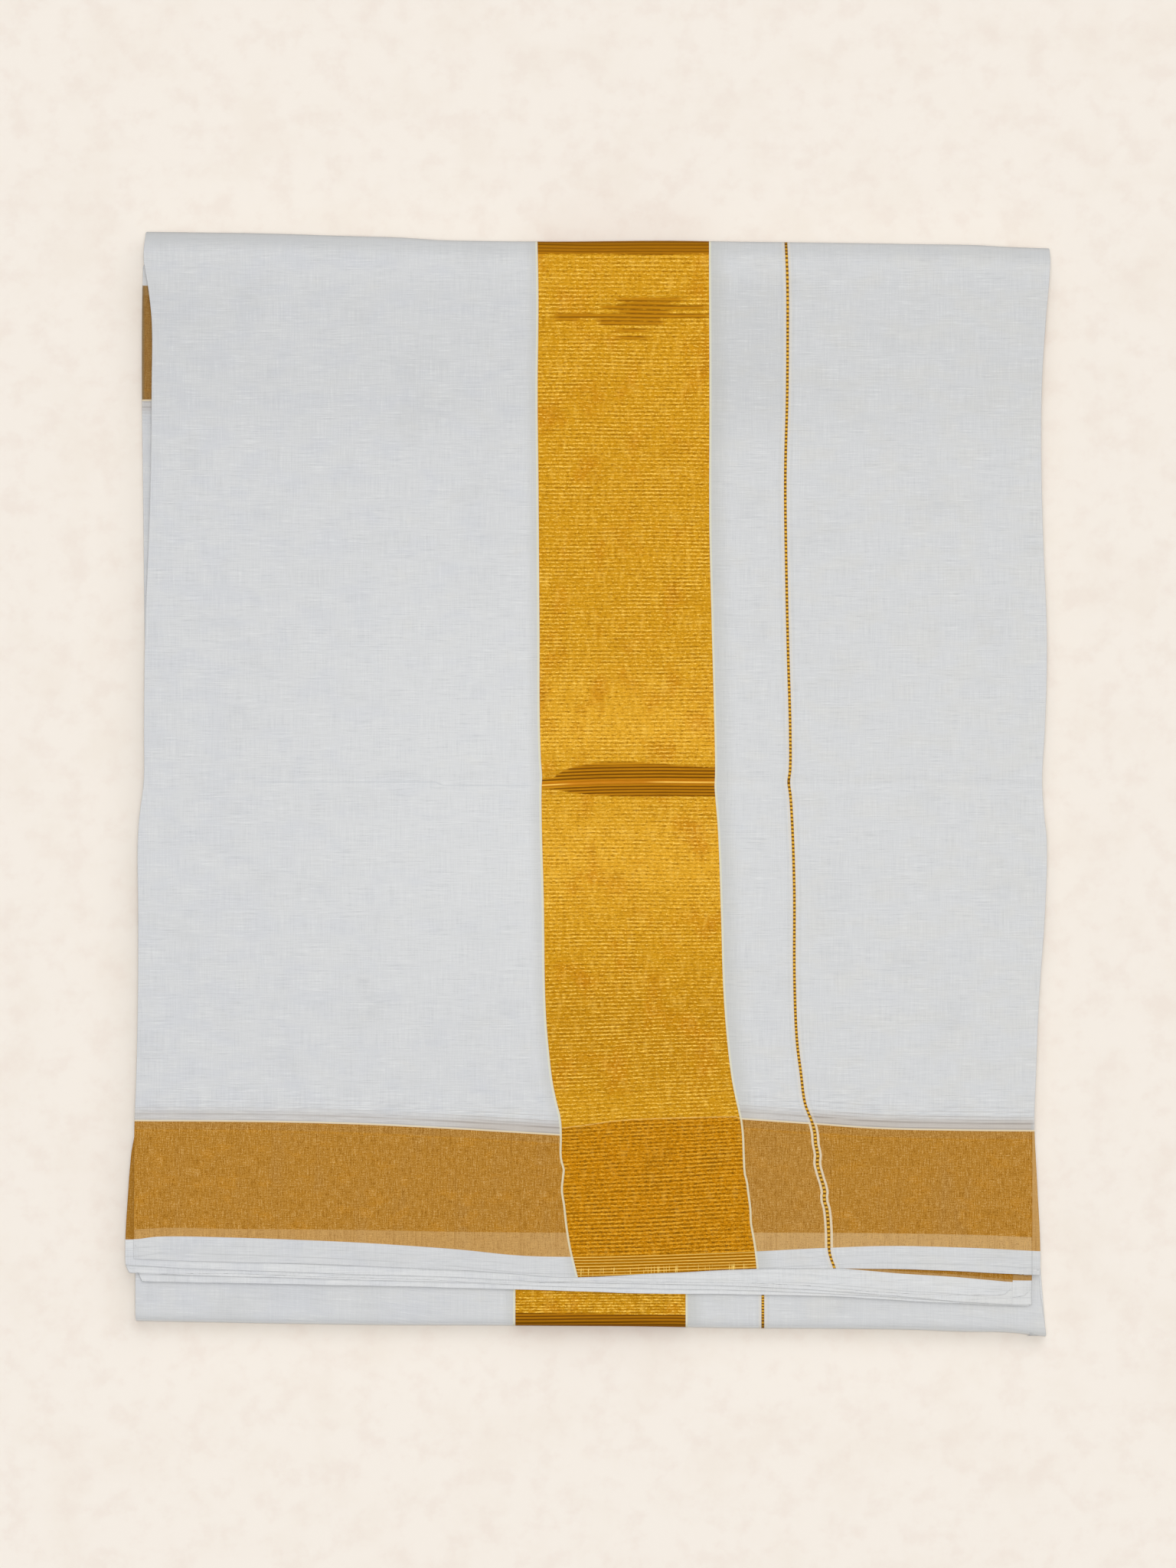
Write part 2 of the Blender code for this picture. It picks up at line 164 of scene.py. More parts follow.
@dataclass(frozen=True)
class Outline:
    """Sides, selvedges and fold lines of the stack, as they are seen from above.

    Attributes:
        a_left, a_right: sides of the top panel, by the place across the cloth.
        b_left, b_right: sides of the middle panel.
        c_left, c_right: sides of the lowest panel.
        step_left, step_right: sides of the second, third and last group of plies at the steps.
        selvedges: the four groups' selvedges on the top panel, by the place along the cloth.
        under_selvedges: their selvedges underneath, near the top fold.
        top_fold, bottom_fold: the folds' outer edges.
    """

    a_left: Profile = Profile((
        (209, -167.0), (198, -167.6), (188, -166.0), (175, -164.6), (150, -164.6),
        (120, -164.9), (95, -165.6), (60, -167.0), (45, -167.3), (20, -167.5), (1, -167.6),
        (-12, -169.2), (-20, -169.8), (-50, -169.7), (-80, -169.8), (-110, -170.4),
        (-128, -171.1), (-150, -171.3), (-175, -171.5), (-209, -171.4),
    ))
    a_right: Profile = Profile((
        (209, 174.7), (199, 174.8), (190, 174.3), (175, 173.0), (150, 171.5), (120, 171.3),
        (95, 171.9), (60, 173.3), (45, 173.4), (20, 172.6), (1, 171.6), (-12, 172.4),
        (-20, 173.3), (-50, 172.6), (-80, 170.5), (-110, 169.3), (-128, 168.7),
        (-150, 169.7), (-175, 170.9), (-209, 170.6),
    ))
    b_left: Profile = Profile((
        (209, -166.4), (188, -165.2), (150, -163.8), (95, -164.8), (45, -166.3), (1, -166.8),
        (-20, -169.0), (-80, -169.4), (-128, -170.2), (-150, -170.6), (-198, -170.9),
        (-209, -170.9),
    ))
    b_right: Profile = Profile((
        (209, 173.6), (188, 172.8), (150, 170.0), (95, 170.4), (45, 172.0), (1, 170.2),
        (-20, 171.8), (-80, 169.2), (-128, 168.4), (-175, 170.4), (-190, 170.8),
        (-198, 171.8), (-209, 173.4),
    ))
    c_left: Profile = Profile((
        (209, -167.6), (188, -168.3), (150, -168.5), (95, -167.9), (1, -167.4), (-50, -168.8),
        (-128, -169.4), (-190, -170.4), (-209, -170.7),
    ))
    c_right: Profile = Profile((
        (209, 171.0), (175, 170.0), (120, 169.0), (45, 170.6), (1, 169.6), (-20, 170.4),
        (-110, 167.6), (-150, 169.0), (-198, 172.4), (-209, 173.4),
    ))
    step_left: tuple[Profile, ...] = (
        Profile(((-110, -170.0), (-130, -170.8), (-138, -172.3), (-155, -173.7), (-172, -174.7),
                 (-181, -174.7), (-185, -174.2), (-197, -173.8))),
        Profile(((-110, -169.4), (-130, -170.0), (-138, -171.4), (-155, -173.0), (-172, -174.2),
                 (-180, -174.5), (-183.6, -174.0), (-185, -172.9), (-197, -172.2))),
        Profile(((-110, -169.2), (-138, -169.8), (-172, -169.9), (-184, -169.8), (-187, -169.0),
                 (-189, -167.6), (-197, -167.6))),
    )
    step_right: tuple[Profile, ...] = (
        Profile(((-110, 167.6), (-138, 166.4), (-155, 165.2), (-172, 162.8), (-185, 160.8),
                 (-197, 160.5))),
        Profile(((-110, 167.2), (-138, 167.2), (-172, 167.8), (-197, 167.8))),
        Profile(((-110, 167.0), (-172, 166.9), (-197, 166.9))),
    )
    selvedges: tuple[Profile, ...] = profiles(
        (-174, -164, -93, -31, -4, 30, 64, 96, 131, 160, 171),
        (-178.8, -179.5, -181.5, -184.4, -186.3, -184.8, -183.2, -182.9, -183.5, -184.8, -185.4),
        (-180.9, -181.8, -184.7, -186.7, -188.1, -188.7, -189.6, -191.0, -193.6, -196.0, -196.5),
        (-184.2, -184.8, -187.0, -188.7, -189.9, -190.7, -191.3, -192.5, -194.5, -196.4, -196.7),
        (-187.6, -187.9, -189.3, -190.7, -191.5, -192.5, -192.8, -193.5, -195.4, -196.8, -197.1),
    )
    under_selvedges: tuple[Profile, ...] = profiles(
        (-168, -90, 0, 90, 172),
        (195.6, 195.0, 193.8, 194.2, 192.8),
        (194.4, 193.6, 192.6, 192.2, 191.6),
        (196.0, 195.2, 194.4, 193.4, 193.2),
        (194.8, 194.0, 193.2, 192.8, 192.0),
    )
    top_fold: Profile = Profile((
        (-170, 208.6), (-147, 208.3), (-124, 208.0), (-95, 207.1), (-71, 206.4), (-55, 205.4),
        (-41, 205.1), (-11, 204.9), (30, 205.2), (60, 204.8), (95, 204.4), (125, 203.9),
        (145, 203.6), (160, 202.8), (174, 202.3),
    ))
    bottom_fold: Profile = Profile((
        (-170, -202.9), (-147, -203.3), (-122, -203.8), (-95, -204.2), (-71, -204.5),
        (-41, -204.6), (-11, -204.8), (20, -205.0), (55, -205.6), (95, -205.9), (125, -206.3),
        (143, -207.0), (160, -207.3), (174, -208.8),
    ))


@dataclass(frozen=True)
class FoldedStack:
    """The bundle's way through its two folds, and the relief pressed into the top panel.

    Attributes:
        bundle: thickness of the sixteen plies, which lie on each other three times.
        gap: distance between two panels.
        ply_group: thickness of four plies.
        ply_step: how much shorter each deeper ply of a group is than the one above it.
        selvedge_waver: height, length and shift by depth of each wave along a selvedge.
        left_end: where the stack's left side lies, for the lines that are read along the cloth.
        length: distance from there to its right side.
        steps_start: where the lower groups' sides begin to stand apart from the top one's.
        steps_length: distance over which they do.
        corner_rounding: how far the stack's sides draw in where it folds.
        fold_squareness: 2 for round folds, and more for squarer ones.
        sag: how far the top fold sinks, between the places sag_start and sag_end.
        crown: how far the top panel bulges in its middle.
        waves: height, and length along and across the cloth, of each soft wave in it.
        relief_ends: how steeply the relief ends at the top fold.
        pressed: thickness left under each depth at the cut side, where the plies are pressed.
        pressed_length: distance over which they rise from there.
        side_droop: how far the top panel droops at its sides, over side_droop_width.
        creases: the top panel's creases.
    """

    outline: Outline = Outline()
    bundle: float = 4.9
    gap: float = 0.3
    ply_group: float = 1.225
    ply_step: float = -0.06
    selvedge_waver: tuple[tuple[float, float, float], ...] = ((0.05, 9.0, 11.0), (0.03, 3.7, 5.0))
    left_end: float = -167.0
    length: float = 341.2
    steps_start: float = -100.0
    steps_length: float = 14.0
    corner_rounding: float = 1.0
    fold_squareness: float = 5.0
    sag: float = 0.6
    sag_start: float = 197.0
    sag_end: float = 208.4
    crown: float = 0.6
    waves: tuple[tuple[float, float, float], ...] = (
        (0.06, 23.0, 61.0), (0.05, 41.0, -19.0), (0.03, 11.0, 13.0),
    )
    relief_ends: float = 30.0
    pressed_length: float = 26.0
    pressed: Profile = Profile(((0, 1.75), (1.225, 1.5), (2.45, 1.22), (3.675, 0.92), (4.9, 0.0)))
    side_droop: float = 0.35
    side_droop_width: float = 2.2
    creases: tuple[Crease, ...] = (
        Crease(((-125, 2.4), (-60, 1.6), (-18, 0.8), (48, 0.9), (110, 0.2), (176, -0.6)), 0.3, 2.2),
        Crease(((-169, -7.6), (-160, -7.8), (-148, -8.2)), 0.22, 1.0, 8.0),
        Crease(((-168, -20.0), (-158, -23.6), (-146, -25.6), (-132, -30.0)), 0.25, 3.0, 10.0),
        Crease(((-140, -34.0), (-118, -39.0), (-96, -41.0)), -0.15, 4.0, 16.0),
        Crease(((-110, 168.0), (-60, 140.0), (-20, 128.0)), 0.12, 7.0, 30.0),
        Crease(((60, -60.0), (110, -44.0), (160, -40.0)), 0.12, 6.0, 25.0),
        Crease(((-13, 176.6), (10, 177.5), (34, 178.6), (46, 178.0)), 0.35, 3.6, 14.0),
    )

    @property
    def fold_radius(self) -> float:
        """Outer radius of each fold."""
        return self.bundle + self.gap / 2

    @property
    def top_of_a(self) -> float:
        """Height of the top panel's first face."""
        return 3 * self.bundle + 2 * self.gap

    def group(self, depth: np.ndarray) -> np.ndarray:
        """Gives the number, from 0 to 3, of the group of four plies at each depth."""
        return np.clip(np.floor(depth / self.ply_group + 1e-6), 0, 3).astype(int)

    def grouped(self, profiles: tuple[Profile, ...], place: np.ndarray, group: np.ndarray) -> np.ndarray:
        """Reads each point from its own group's profile."""
        return np.choose(group, [profile(place) for profile in profiles])

    def selvedge(self, profiles: tuple[Profile, ...], x: np.ndarray, depth: np.ndarray) -> np.ndarray:
        """Gives the place of each ply's selvedge.

        Args:
            profiles: the four groups' selvedges, at one end of the bundle.
            x: places along the cloth.
            depth: depth of the ply at each place.

        Returns:
            The selvedge's place across the cloth, the deeper plies of a group a little shorter.
        """
        group = self.group(depth)
        number = (depth - group * self.ply_group) / (self.ply_group / 4)
        uneven = sum(
            high * np.sin(x / long + depth * shift) for high, long, shift in self.selvedge_waver
        )
        return self.grouped(profiles, x, group) - self.ply_step * number + uneven

    def sides(self, stretch: Stretch, y: np.ndarray, depth: np.ndarray) -> tuple[np.ndarray, np.ndarray]:
        """Gives the left and right side of a panel.

        Args:
            stretch: the panel.
            y: places across the cloth.
            depth: depth of the ply at each place.

        Returns:
            The two sides' places along the cloth.
        """
        o = self.outline
        if stretch is Stretch.MIDDLE_PANEL:
            return o.b_left(y), o.b_right(y)
        if stretch is Stretch.LOWEST_PANEL:
            return o.c_left(y), o.c_right(y)
        group = self.group(depth)
        lower = np.clip((self.steps_start - y) / self.steps_length, 0, 1) * (group > 0)
        left, right = o.a_left(y), o.a_right(y)
        step_left = self.grouped(o.step_left, y, np.maximum(group - 1, 0))
        step_right = self.grouped(o.step_right, y, np.maximum(group - 1, 0))
        return left + (step_left - left) * lower, right + (step_right - right) * lower

    def fold_sides(
        self, upper: Stretch, lower: Stretch, y: np.ndarray, depth: np.ndarray, share: float
    ) -> tuple[np.ndarray, np.ndarray]:
        """Gives the left and right side of a fold, which pass from one panel's to the other's.

        Args:
            upper: the panel that goes into the fold.
            lower: the panel that comes out of it.
            y: places across the cloth.
            depth: depth of the ply at each place.
            share: share of the way round the fold.

        Returns:
            The two sides' places along the cloth.
        """
        before, after = self.sides(upper, y, depth), self.sides(lower, y, depth)
        left, right = (before[k] + (after[k] - before[k]) * share for k in (0, 1))
        return left, right

    def relief(self, across: np.ndarray, x: np.ndarray, y: np.ndarray, share: float) -> np.ndarray:
        """Gives the height that the top panel's crown, creases and soft waves add.

        Args:
            across: share of the way from the left side to the right one, at each point.
            x: places along the cloth.
            y: places across the cloth.
            share: share of the way from the cut side to the top fold.

        Returns:
            The height at each point.
        """
        height = self.crown * 16 * across * (1 - across) * share * (1 - share)
        for crease in self.creases:
            height = height + crease.height(x, y)
        return height + sum(rise * np.sin(x / along + y / over) for rise, along, over in self.waves)

    def place(self, station: Station, section: Section) -> dict[str, np.ndarray]:
        """Lays one row of a sheet into the stack.

        Args:
            station: the row's place on the way through the stack.
            section: the sheet's cross-section.

        Returns:
            x, y and z of each point, its distances along the cloth's width from the first
            selvedge's side (run), from its own ply's first selvedge (from_first) and from its
            last one (from_last), and how far inside the nearer fold it lies (from_fold).
        """
        o, share, depth = self.outline, station.share, section.depth
        radius_out = self.fold_radius
        nearly_x = self.left_end + self.length * section.across
        top = o.top_fold(nearly_x) - radius_out
        bottom = o.bottom_fold(nearly_x) + radius_out
        first = self.selvedge(o.selvedges, nearly_x, depth)
        last = self.selvedge(o.under_selvedges, nearly_x, depth)
        angle = math.pi * share
        round_top, inner = math.pi * radius_out, self.gap / 2 + depth
        both_panels = 2 * top + round_top
        sine, cosine = math.sin(angle), math.cos(angle)
        power = self.fold_squareness
        square = (abs(sine) ** power + abs(cosine) ** power) ** (-1 / power)
        corner = self.corner_rounding * (1 - abs(cosine)) ** 3
        lift = np.zeros_like(depth)
        if station.stretch is Stretch.TOP_PANEL:
            y = first + (top - first) * share
            from_end = y - o.selvedges[-1](nearly_x)
            loose = self.bundle - depth
            at_end = np.interp(depth, *zip(*self.pressed.points))
            z = self.top_of_a - depth + (at_end - loose) * np.exp(-from_end / self.pressed_length)
            left, right = self.sides(Stretch.TOP_PANEL, y, depth)
            corner, run = 0.0, y
        elif station.stretch is Stretch.TOP_FOLD:
            y = top + (radius_out - depth) * sine * square
            z = self.top_of_a - radius_out + (radius_out - depth) * cosine * square
            left, right = self.fold_sides(Stretch.TOP_PANEL, Stretch.MIDDLE_PANEL, y, depth, share)
            run = top + radius_out * angle
        elif station.stretch is Stretch.MIDDLE_PANEL:
            y = top + (bottom - top) * share
            z = self.bundle + self.gap + depth
            left, right = self.sides(Stretch.MIDDLE_PANEL, y, depth)
            corner, run = 0.0, both_panels - y
        elif station.stretch is Stretch.BOTTOM_FOLD:
            y = bottom - inner * sine * square
            z = self.bundle + self.gap / 2 + inner * cosine * square
            left, right = self.fold_sides(Stretch.MIDDLE_PANEL, Stretch.LOWEST_PANEL, y, depth, share)
            run = both_panels - bottom + inner * angle
        else:
            y = bottom + (last - bottom) * share
            z = self.bundle - depth
            left, right = self.sides(Stretch.LOWEST_PANEL, y, depth)
            corner, run = 0.0, both_panels - 2 * bottom + inner * math.pi + y
        whole = both_panels - 2 * bottom + inner * math.pi + last
        if station.stretch in (Stretch.TOP_PANEL, Stretch.TOP_FOLD, Stretch.MIDDLE_PANEL):
            reach = np.clip((y - self.sag_start) / (self.sag_end - self.sag_start), 0, 1)
            z = z - self.sag * reach * reach
        x = left + corner + (right - left - 2 * corner) * section.across
        x = x + np.where(section.across < 0.5, section.inset, -section.inset)
        if station.stretch is Stretch.TOP_PANEL:
            edge = np.minimum(x - left, right - x) / self.side_droop_width
            lift = self.relief(section.across, x, y, share) - self.side_droop * np.exp(-edge * edge)
            lift = lift * (1 - depth / self.bundle) * min(1.0, (1 - share) * self.relief_ends)
        return {
            "x": x, "y": y, "z": z + lift, "run": run,
            "from_first": run - first, "from_last": whole - run,
            "from_fold": np.minimum(o.top_fold(nearly_x) - y, y - o.bottom_fold(nearly_x)),
        }


@dataclass(frozen=True)
class WovenMarks:
    """Where the woven stripes and borders lie on the cloth, as the first ply shows them.

    Attributes:
        band_left, band_right: the broad gold band's edges, by the place across the cloth.
        thin_line: middle of the thin gold line.
        border_top_left, border_top_middle, border_top_right: the border's upper edge left of
            the band, in it and right of it, by the place along the cloth.
        border_pale: upper edge of the border's pale strip, where one ply less lies under it.
        border_low: the border's lower edge.
        second_low, third_low: the same on the second and the third group of plies.
        selvedge_strip: width of the white strip between the border and the selvedge.
        under_strip: its width underneath.
        pale_strip, second_pale: width of the pale strip on hidden plies and the second group.
        border_width: width of the whole border on a hidden ply.
        lower_band: the band's left edge, its right edge and the thin line on the last ply.
        beyond_fold: past this place the marks run straight on, round the top fold.
        band_middle: a place inside the band, between the border's two sides.
        far_off: distance that stands for no band at all.
    """

    band_left: Profile = Profile((
        (205, -18.9), (183, -18.6), (148, -18.9), (114, -18.6), (62, -18.2), (10, -17.7),
        (2.5, -17.2), (-2, -17.4), (-11, -17.4), (-42, -16.6), (-86, -15.8), (-103, -14.4),
        (-112, -13.3), (-120, -11.7), (-126, -10.2), (-132, -9.7), (-142.3, -9.5), (-144.9, -8.6),
        (-148, -8.8), (-152.7, -9.3), (-155.3, -9.1), (-158, -8.6), (-166, -7.7), (-171, -7.0),
        (-176, -6.1), (-186.5, -3.6),
    ))
    band_right: Profile = Profile((
        (205, 45.8), (148, 46.0), (96, 46.0), (62, 46.8), (27, 47.7), (4, 48.1), (-1, 47.9),
        (-5, 48.2), (-16, 49.1), (-51, 50.4), (-77, 51.2), (-94, 52.4), (-112, 54.5),
        (-120, 56.1), (-127, 57.6), (-132, 58.2), (-142, 58.6), (-147.5, 59.0), (-150, 59.7),
        (-154, 60.2), (-160, 61.0), (-166, 61.3), (-171, 62.2), (-176, 63.0), (-184, 63.9),
    ))
    thin_line: Profile = Profile((
        (206, 74.8), (191, 75.4), (168, 75.5), (145, 75.3), (122, 74.7), (110, 74.6), (87, 74.9),
        (52, 75.6), (18, 76.5), (5, 76.4), (0.7, 75.9), (-4, 76.5), (-17, 77.3), (-40, 78.0),
        (-75, 78.1), (-98, 79.1), (-109, 80.5), (-120.7, 82.1), (-128.5, 85.0), (-132, 85.8),
        (-135.5, 86.0), (-140, 86.9), (-143.3, 86.7), (-147.4, 87.7), (-154.1, 89.5),
        (-156.6, 89.2), (-160, 90.2), (-168.6, 91.0), (-177.4, 91.4), (-182.7, 93.2),
    ))
    border_top_left: Profile = Profile((
        (-174, -127.3), (-135, -127.5), (-108, -127.9), (-82, -128.7), (-45, -130.6), (-9, -132.8),
    ))
    border_top_middle: Profile = Profile((
        (-12, -130.4), (0, -128.8), (12, -127.2), (35, -126.2), (62, -125.6),
    ))
    border_top_right: Profile = Profile((
        (56, -126.5), (84, -128.4), (110, -130.2), (140, -130.9), (171, -131.2),
    ))
    border_pale: Profile = Profile((
        (-175, -168.6), (-168, -168.0), (-160, -167.6), (-135, -168.0), (-90, -168.3),
        (-48, -169.1), (-11, -169.4), (65, -169.4), (110, -169.6), (145, -170.2), (168, -171.1),
    ))
    border_low: Profile = Profile((
        (-176, -172.0), (-169, -171.7), (-164, -171.0), (-159, -170.8), (-135, -171.2),
        (-112, -172.0), (-89, -173.0), (-68, -174.3), (-48, -175.8), (-26, -178.0), (-9, -178.5),
        (30, -177.6), (64, -176.4), (88, -175.2), (113, -174.4), (145, -175.1), (171, -176.4),
    ))
    second_low: Profile = Profile((
        (-176, -172.0), (-168, -172.0), (-93, -175.5), (0, -179.5), (90, -182.4),
        (103, -183.5), (119, -184.9), (137, -186.0), (154, -187.5), (160, -188.0), (172, -187.7),
    ))
    third_low: Profile = Profile((
        (-176, -175.2), (-93, -178.0), (0, -181.0), (96, -183.6), (160, -187.4), (172, -187.5),
    ))
    selvedge_strip: float = 9.0
    under_strip: float = 7.2
    pale_strip: float = 3.6
    border_width: float = 43.0
    lower_band: tuple[float, float, float] = (-27.3, 37.0, 66.2)
    beyond_fold: float = 206.0
    second_pale: float = 0.9
    band_middle: float = 20.0
    far_off: float = 400.0

    def stripes(
        self, row: dict[str, np.ndarray], first_ply: np.ndarray, last_ply: np.ndarray
    ) -> np.ndarray:
        """Measures each point from the broad band's two edges and the thin line.

        Args:
            row: a row that the stack has placed.
            first_ply: whether each point is on the bundle's first ply.
            last_ply: whether each point is on its last ply.

        Returns:
            Three distances for each point, far off on plies that have no band.
        """
        y = np.where(row["run"] > self.beyond_fold, self.beyond_fold, row["y"])
        first = [row["x"] - edge(y) for edge in (self.band_left, self.band_right, self.thin_line)]
        last = [row["x"] - edge for edge in self.lower_band]
        far = np.full_like(y, self.far_off)
        return np.stack([
            np.where(first_ply, on_first, np.where(last_ply, on_last, far))
            for on_first, on_last in zip(first, last)
        ], axis=1)

    def border(self, stack: FoldedStack, row: dict[str, np.ndarray], depth: np.ndarray) -> np.ndarray:
        """Measures each point from the border's lower edge, its pale strip's edge and its top.

        Args:
            stack: the stack that placed the row.
            row: the row.
            depth: depth of the ply at each point.

        Returns:
            Three distances for each point, growing away from the nearer selvedge.
        """
        x, run = row["x"], row["run"]
        group = stack.group(depth)
        low = np.choose(group, [
            run - self.border_low(x), run - self.second_low(x), run - self.third_low(x),
            row["from_first"] - self.selvedge_strip,
        ])
        in_band = (x > self.band_left(row["y"])) & (x < self.band_right(row["y"]))
        beside = np.where(x < self.band_middle, self.border_top_left(x), self.border_top_right(x))
        top = run - np.where(in_band, self.border_top_middle(x), beside)
        pale = run - self.border_pale(x)
        top = np.where(group == 0, top, low - self.border_width)
        pale = np.where(group == 0, pale, low - np.where(group == 1, self.second_pale, self.pale_strip))
        from_last = row["from_last"] - self.under_strip
        near_last = row["from_last"] < row["from_first"]
        return np.stack([
            np.where(near_last, from_last, low),
            np.where(near_last, from_last - self.pale_strip, pale),
            np.where(near_last, from_last - self.border_width, top),
        ], axis=1)


@dataclass(frozen=True)
class PressedRow:
    """A row of the dimple: ribs that are pressed flat between two places.

    Attributes:
        high, low: the row's edges across the cloth.
        left, right: where the pressed stretch starts and ends.
        soft_ends: distance over which it fades at its ends.
        soft_edges: distance over which it fades at its edges.
    """

    high: float
    low: float
    left: float
    right: float
    soft_ends: float = 5.0
    soft_edges: float = 0.6

    def inside(self, x: np.ndarray, y: np.ndarray) -> np.ndarray:
        """Gives how far inside the row each point lies, below zero outside it."""
        along = np.minimum(x - self.left, self.right - x) / self.soft_ends
        across = np.minimum(self.high - y, y - self.low) / self.soft_edges
        return np.minimum(along, across)


@dataclass(frozen=True)
class PressedGold:
    """Where folds and creases press the gold threads flat, so that they lose their glitter and take
    painted shade, and where the gold's painted sheen lies.

    Attributes:
        dimple: the rows of the dimple under the top fold.
        crease_place: place of the cross crease across the cloth.
        crease_above, crease_below: reach of its pressed ribs on either side.
        crease_bend: how far its ribs bend down, along the cloth.
        fold_edge, low_fold_edge: where the top fold and the bottom fold start.
        painted_sheen: how bright the gold lies across the cloth, a painted sheen where the band's slope
            catches the light.
        tilt: slope of the ribs at the cut side, between tilt_starts and tilt_ends.
        tilt_centre: place along the cloth that their slope leaves where it is.
        waver: height, length along and across the cloth, and start of each wave in the ribs.
        stretches: where the ribs start to lie closer or wider, the way it goes on from there
            (1 towards the top fold, -1 towards the cut side) and the share that is added.
        band_reach: distance from the middle within which the cross crease bends the ribs.
        bend_length: distance over which that bend fades.
        return_edge: where the gold is pressed behind the top fold.
        most: largest value that is kept for how pressed the gold is.
        hidden_bright: how bright the gold lies where it is hidden from the light.
    """

    dimple: tuple[PressedRow, ...] = (
        PressedRow(183.6, 182.1, 10.8, 36.3), PressedRow(182.2, 180.6, 12.9, 32.5),
        PressedRow(180.7, 179.2, 5.1, 45.0), PressedRow(179.2, 177.5, 10.8, 31.0),
        PressedRow(177.6, 175.9, -12.9, 46.0), PressedRow(176.0, 174.6, 3.0, 28.2),
        PressedRow(176.0, 174.9, -12.9, -2.2), PressedRow(174.7, 173.2, 4.0, 28.5),
        PressedRow(172.0, 170.6, 11.1, 22.4), PressedRow(169.2, 167.7, 11.1, 22.7),
    )
    crease_place: float = 0.72
    crease_above: Profile = Profile(((-18, 2.3), (-12.5, 2.9), (-10.5, 4.4), (-8, 5.7), (48, 5.9)))
    crease_below: Profile = Profile((
        (-18, 1.2), (-12, 2.0), (-8, 3.0), (-2, 4.0), (4, 4.7), (9, 5.2), (48, 5.4),
    ))
    crease_bend: Profile = Profile((
        (-18, 1.25), (-12.3, 0.96), (-7.9, 0.73), (-2.2, 0.5), (3.6, 0.28), (9.4, 0.16),
        (15.2, 0.08), (26.7, 0.0), (38, 0.07), (48, 0.12),
    ))
    fold_edge: Profile = Profile(((-19, 200.4), (10, 200.0), (25, 199.6), (46, 200.3)))
    low_fold_edge: Profile = Profile(((-27, -199.6), (5, -200.3), (22, -200.9), (37, -200.4)))
    # Painted sheen: the gold is drawn lighter where the band's slope catches the light, darker where it
    # misses it
    painted_sheen: Profile = Profile((
        (200, 0.2), (186, 0.1), (160, 0.0), (110, 0.0), (60, 0.1), (36, 0.5), (20, 0.9), (8, 0.4),
        (-10, 0.5), (-28, 0.8), (-50, 0.3), (-80, -0.5), (-110, -0.5), (-125, -0.2), (-190, -0.2),
    ))
    tilt: float = 0.045
    tilt_starts: float = -30.0
    tilt_ends: float = -125.0
    tilt_centre: float = -10.0
    waver: tuple[tuple[float, float, float, float], ...] = (
        (0.16, 17.0, 29.0, 0.0), (0.1, 7.3, -17.0, 1.0),
    )
    stretches: tuple[tuple[float, int, float], ...] = (
        (178.0, 1, -0.1), (200.3, 1, 0.44), (-127.5, -1, -0.053), (-139.0, -1, 0.107),
    )
    band_reach: float = 55.0
    bend_length: float = 14.0
    return_edge: float = 199.0
    most: float = 3.0
    hidden_bright: float = -0.5

    def sheen(self, row: dict[str, np.ndarray], station: Station, last_ply: np.ndarray) -> np.ndarray:
        """Gives how pressed the gold is at each point, and how bright its painted sheen lies.

        Args:
            row: a row that the stack has placed.
            station: its place on the way.
            last_ply: whether each point is on the bundle's last ply.

        Returns:
            Three values for each point: pressed above zero, the painted sheen's brightness, and the
                distance
            from the cross crease along its bent ribs.
        """
        x, y = row["x"], row["y"]
        bend = np.where(np.abs(x) < self.band_reach, self.crease_bend(x), 0.0)
        off = y - self.crease_place + bend
        if station.stretch in (Stretch.TOP_FOLD, Stretch.BOTTOM_FOLD):
            pressed = np.ones_like(x)
        elif station.stretch is Stretch.TOP_PANEL:
            crease = np.minimum(self.crease_above(x) - off, off + self.crease_below(x))
            rows = [pressed_row.inside(x, y) for pressed_row in self.dimple]
            pressed = np.maximum.reduce([*rows, crease, y - self.fold_edge(x)])
        else:
            pressed = np.where(last_ply, self.low_fold_edge(x) - y, y - self.return_edge)
        shown = station.stretch is Stretch.TOP_PANEL
        bright = self.painted_sheen(y) if shown else np.full_like(x, self.hidden_bright)
        return np.stack([np.clip(pressed, -self.most, self.most), bright, off], axis=1)

    def ribs(self, row: dict[str, np.ndarray], station: Station) -> np.ndarray:
        """Gives the place of each point on the band's ribs, which waver and tilt a little.

        Args:
            row: a row that the stack has placed.
            station: its place on the way.

        Returns:
            Three values for each point: its place across the ribs, how far inside the nearer
            fold it lies, and a spare zero.
        """
        x, run = row["x"], row["run"]
        share = np.clip((self.tilt_starts - run) / (self.tilt_starts - self.tilt_ends), 0, 1)
        lower = share * share * (3 - 2 * share) if station.stretch is Stretch.TOP_PANEL else 0.0
        waver = sum(
            height * np.sin(x / along + run / over + start) for height, along, over, start in self.waver
        )
        stretched = sum(
            added * np.clip(way * (run - start), 0, None) for start, way, added in self.stretches
        )
        near_crease = np.exp(-np.abs(run - self.crease_place) / self.bend_length)
        bend = self.crease_bend(x) * near_crease * (np.abs(x) < self.band_reach)
        place = run - self.tilt * (x - self.tilt_centre) * lower + waver + stretched + bend
        return np.stack([place, row["from_fold"], np.zeros_like(x)], axis=1)


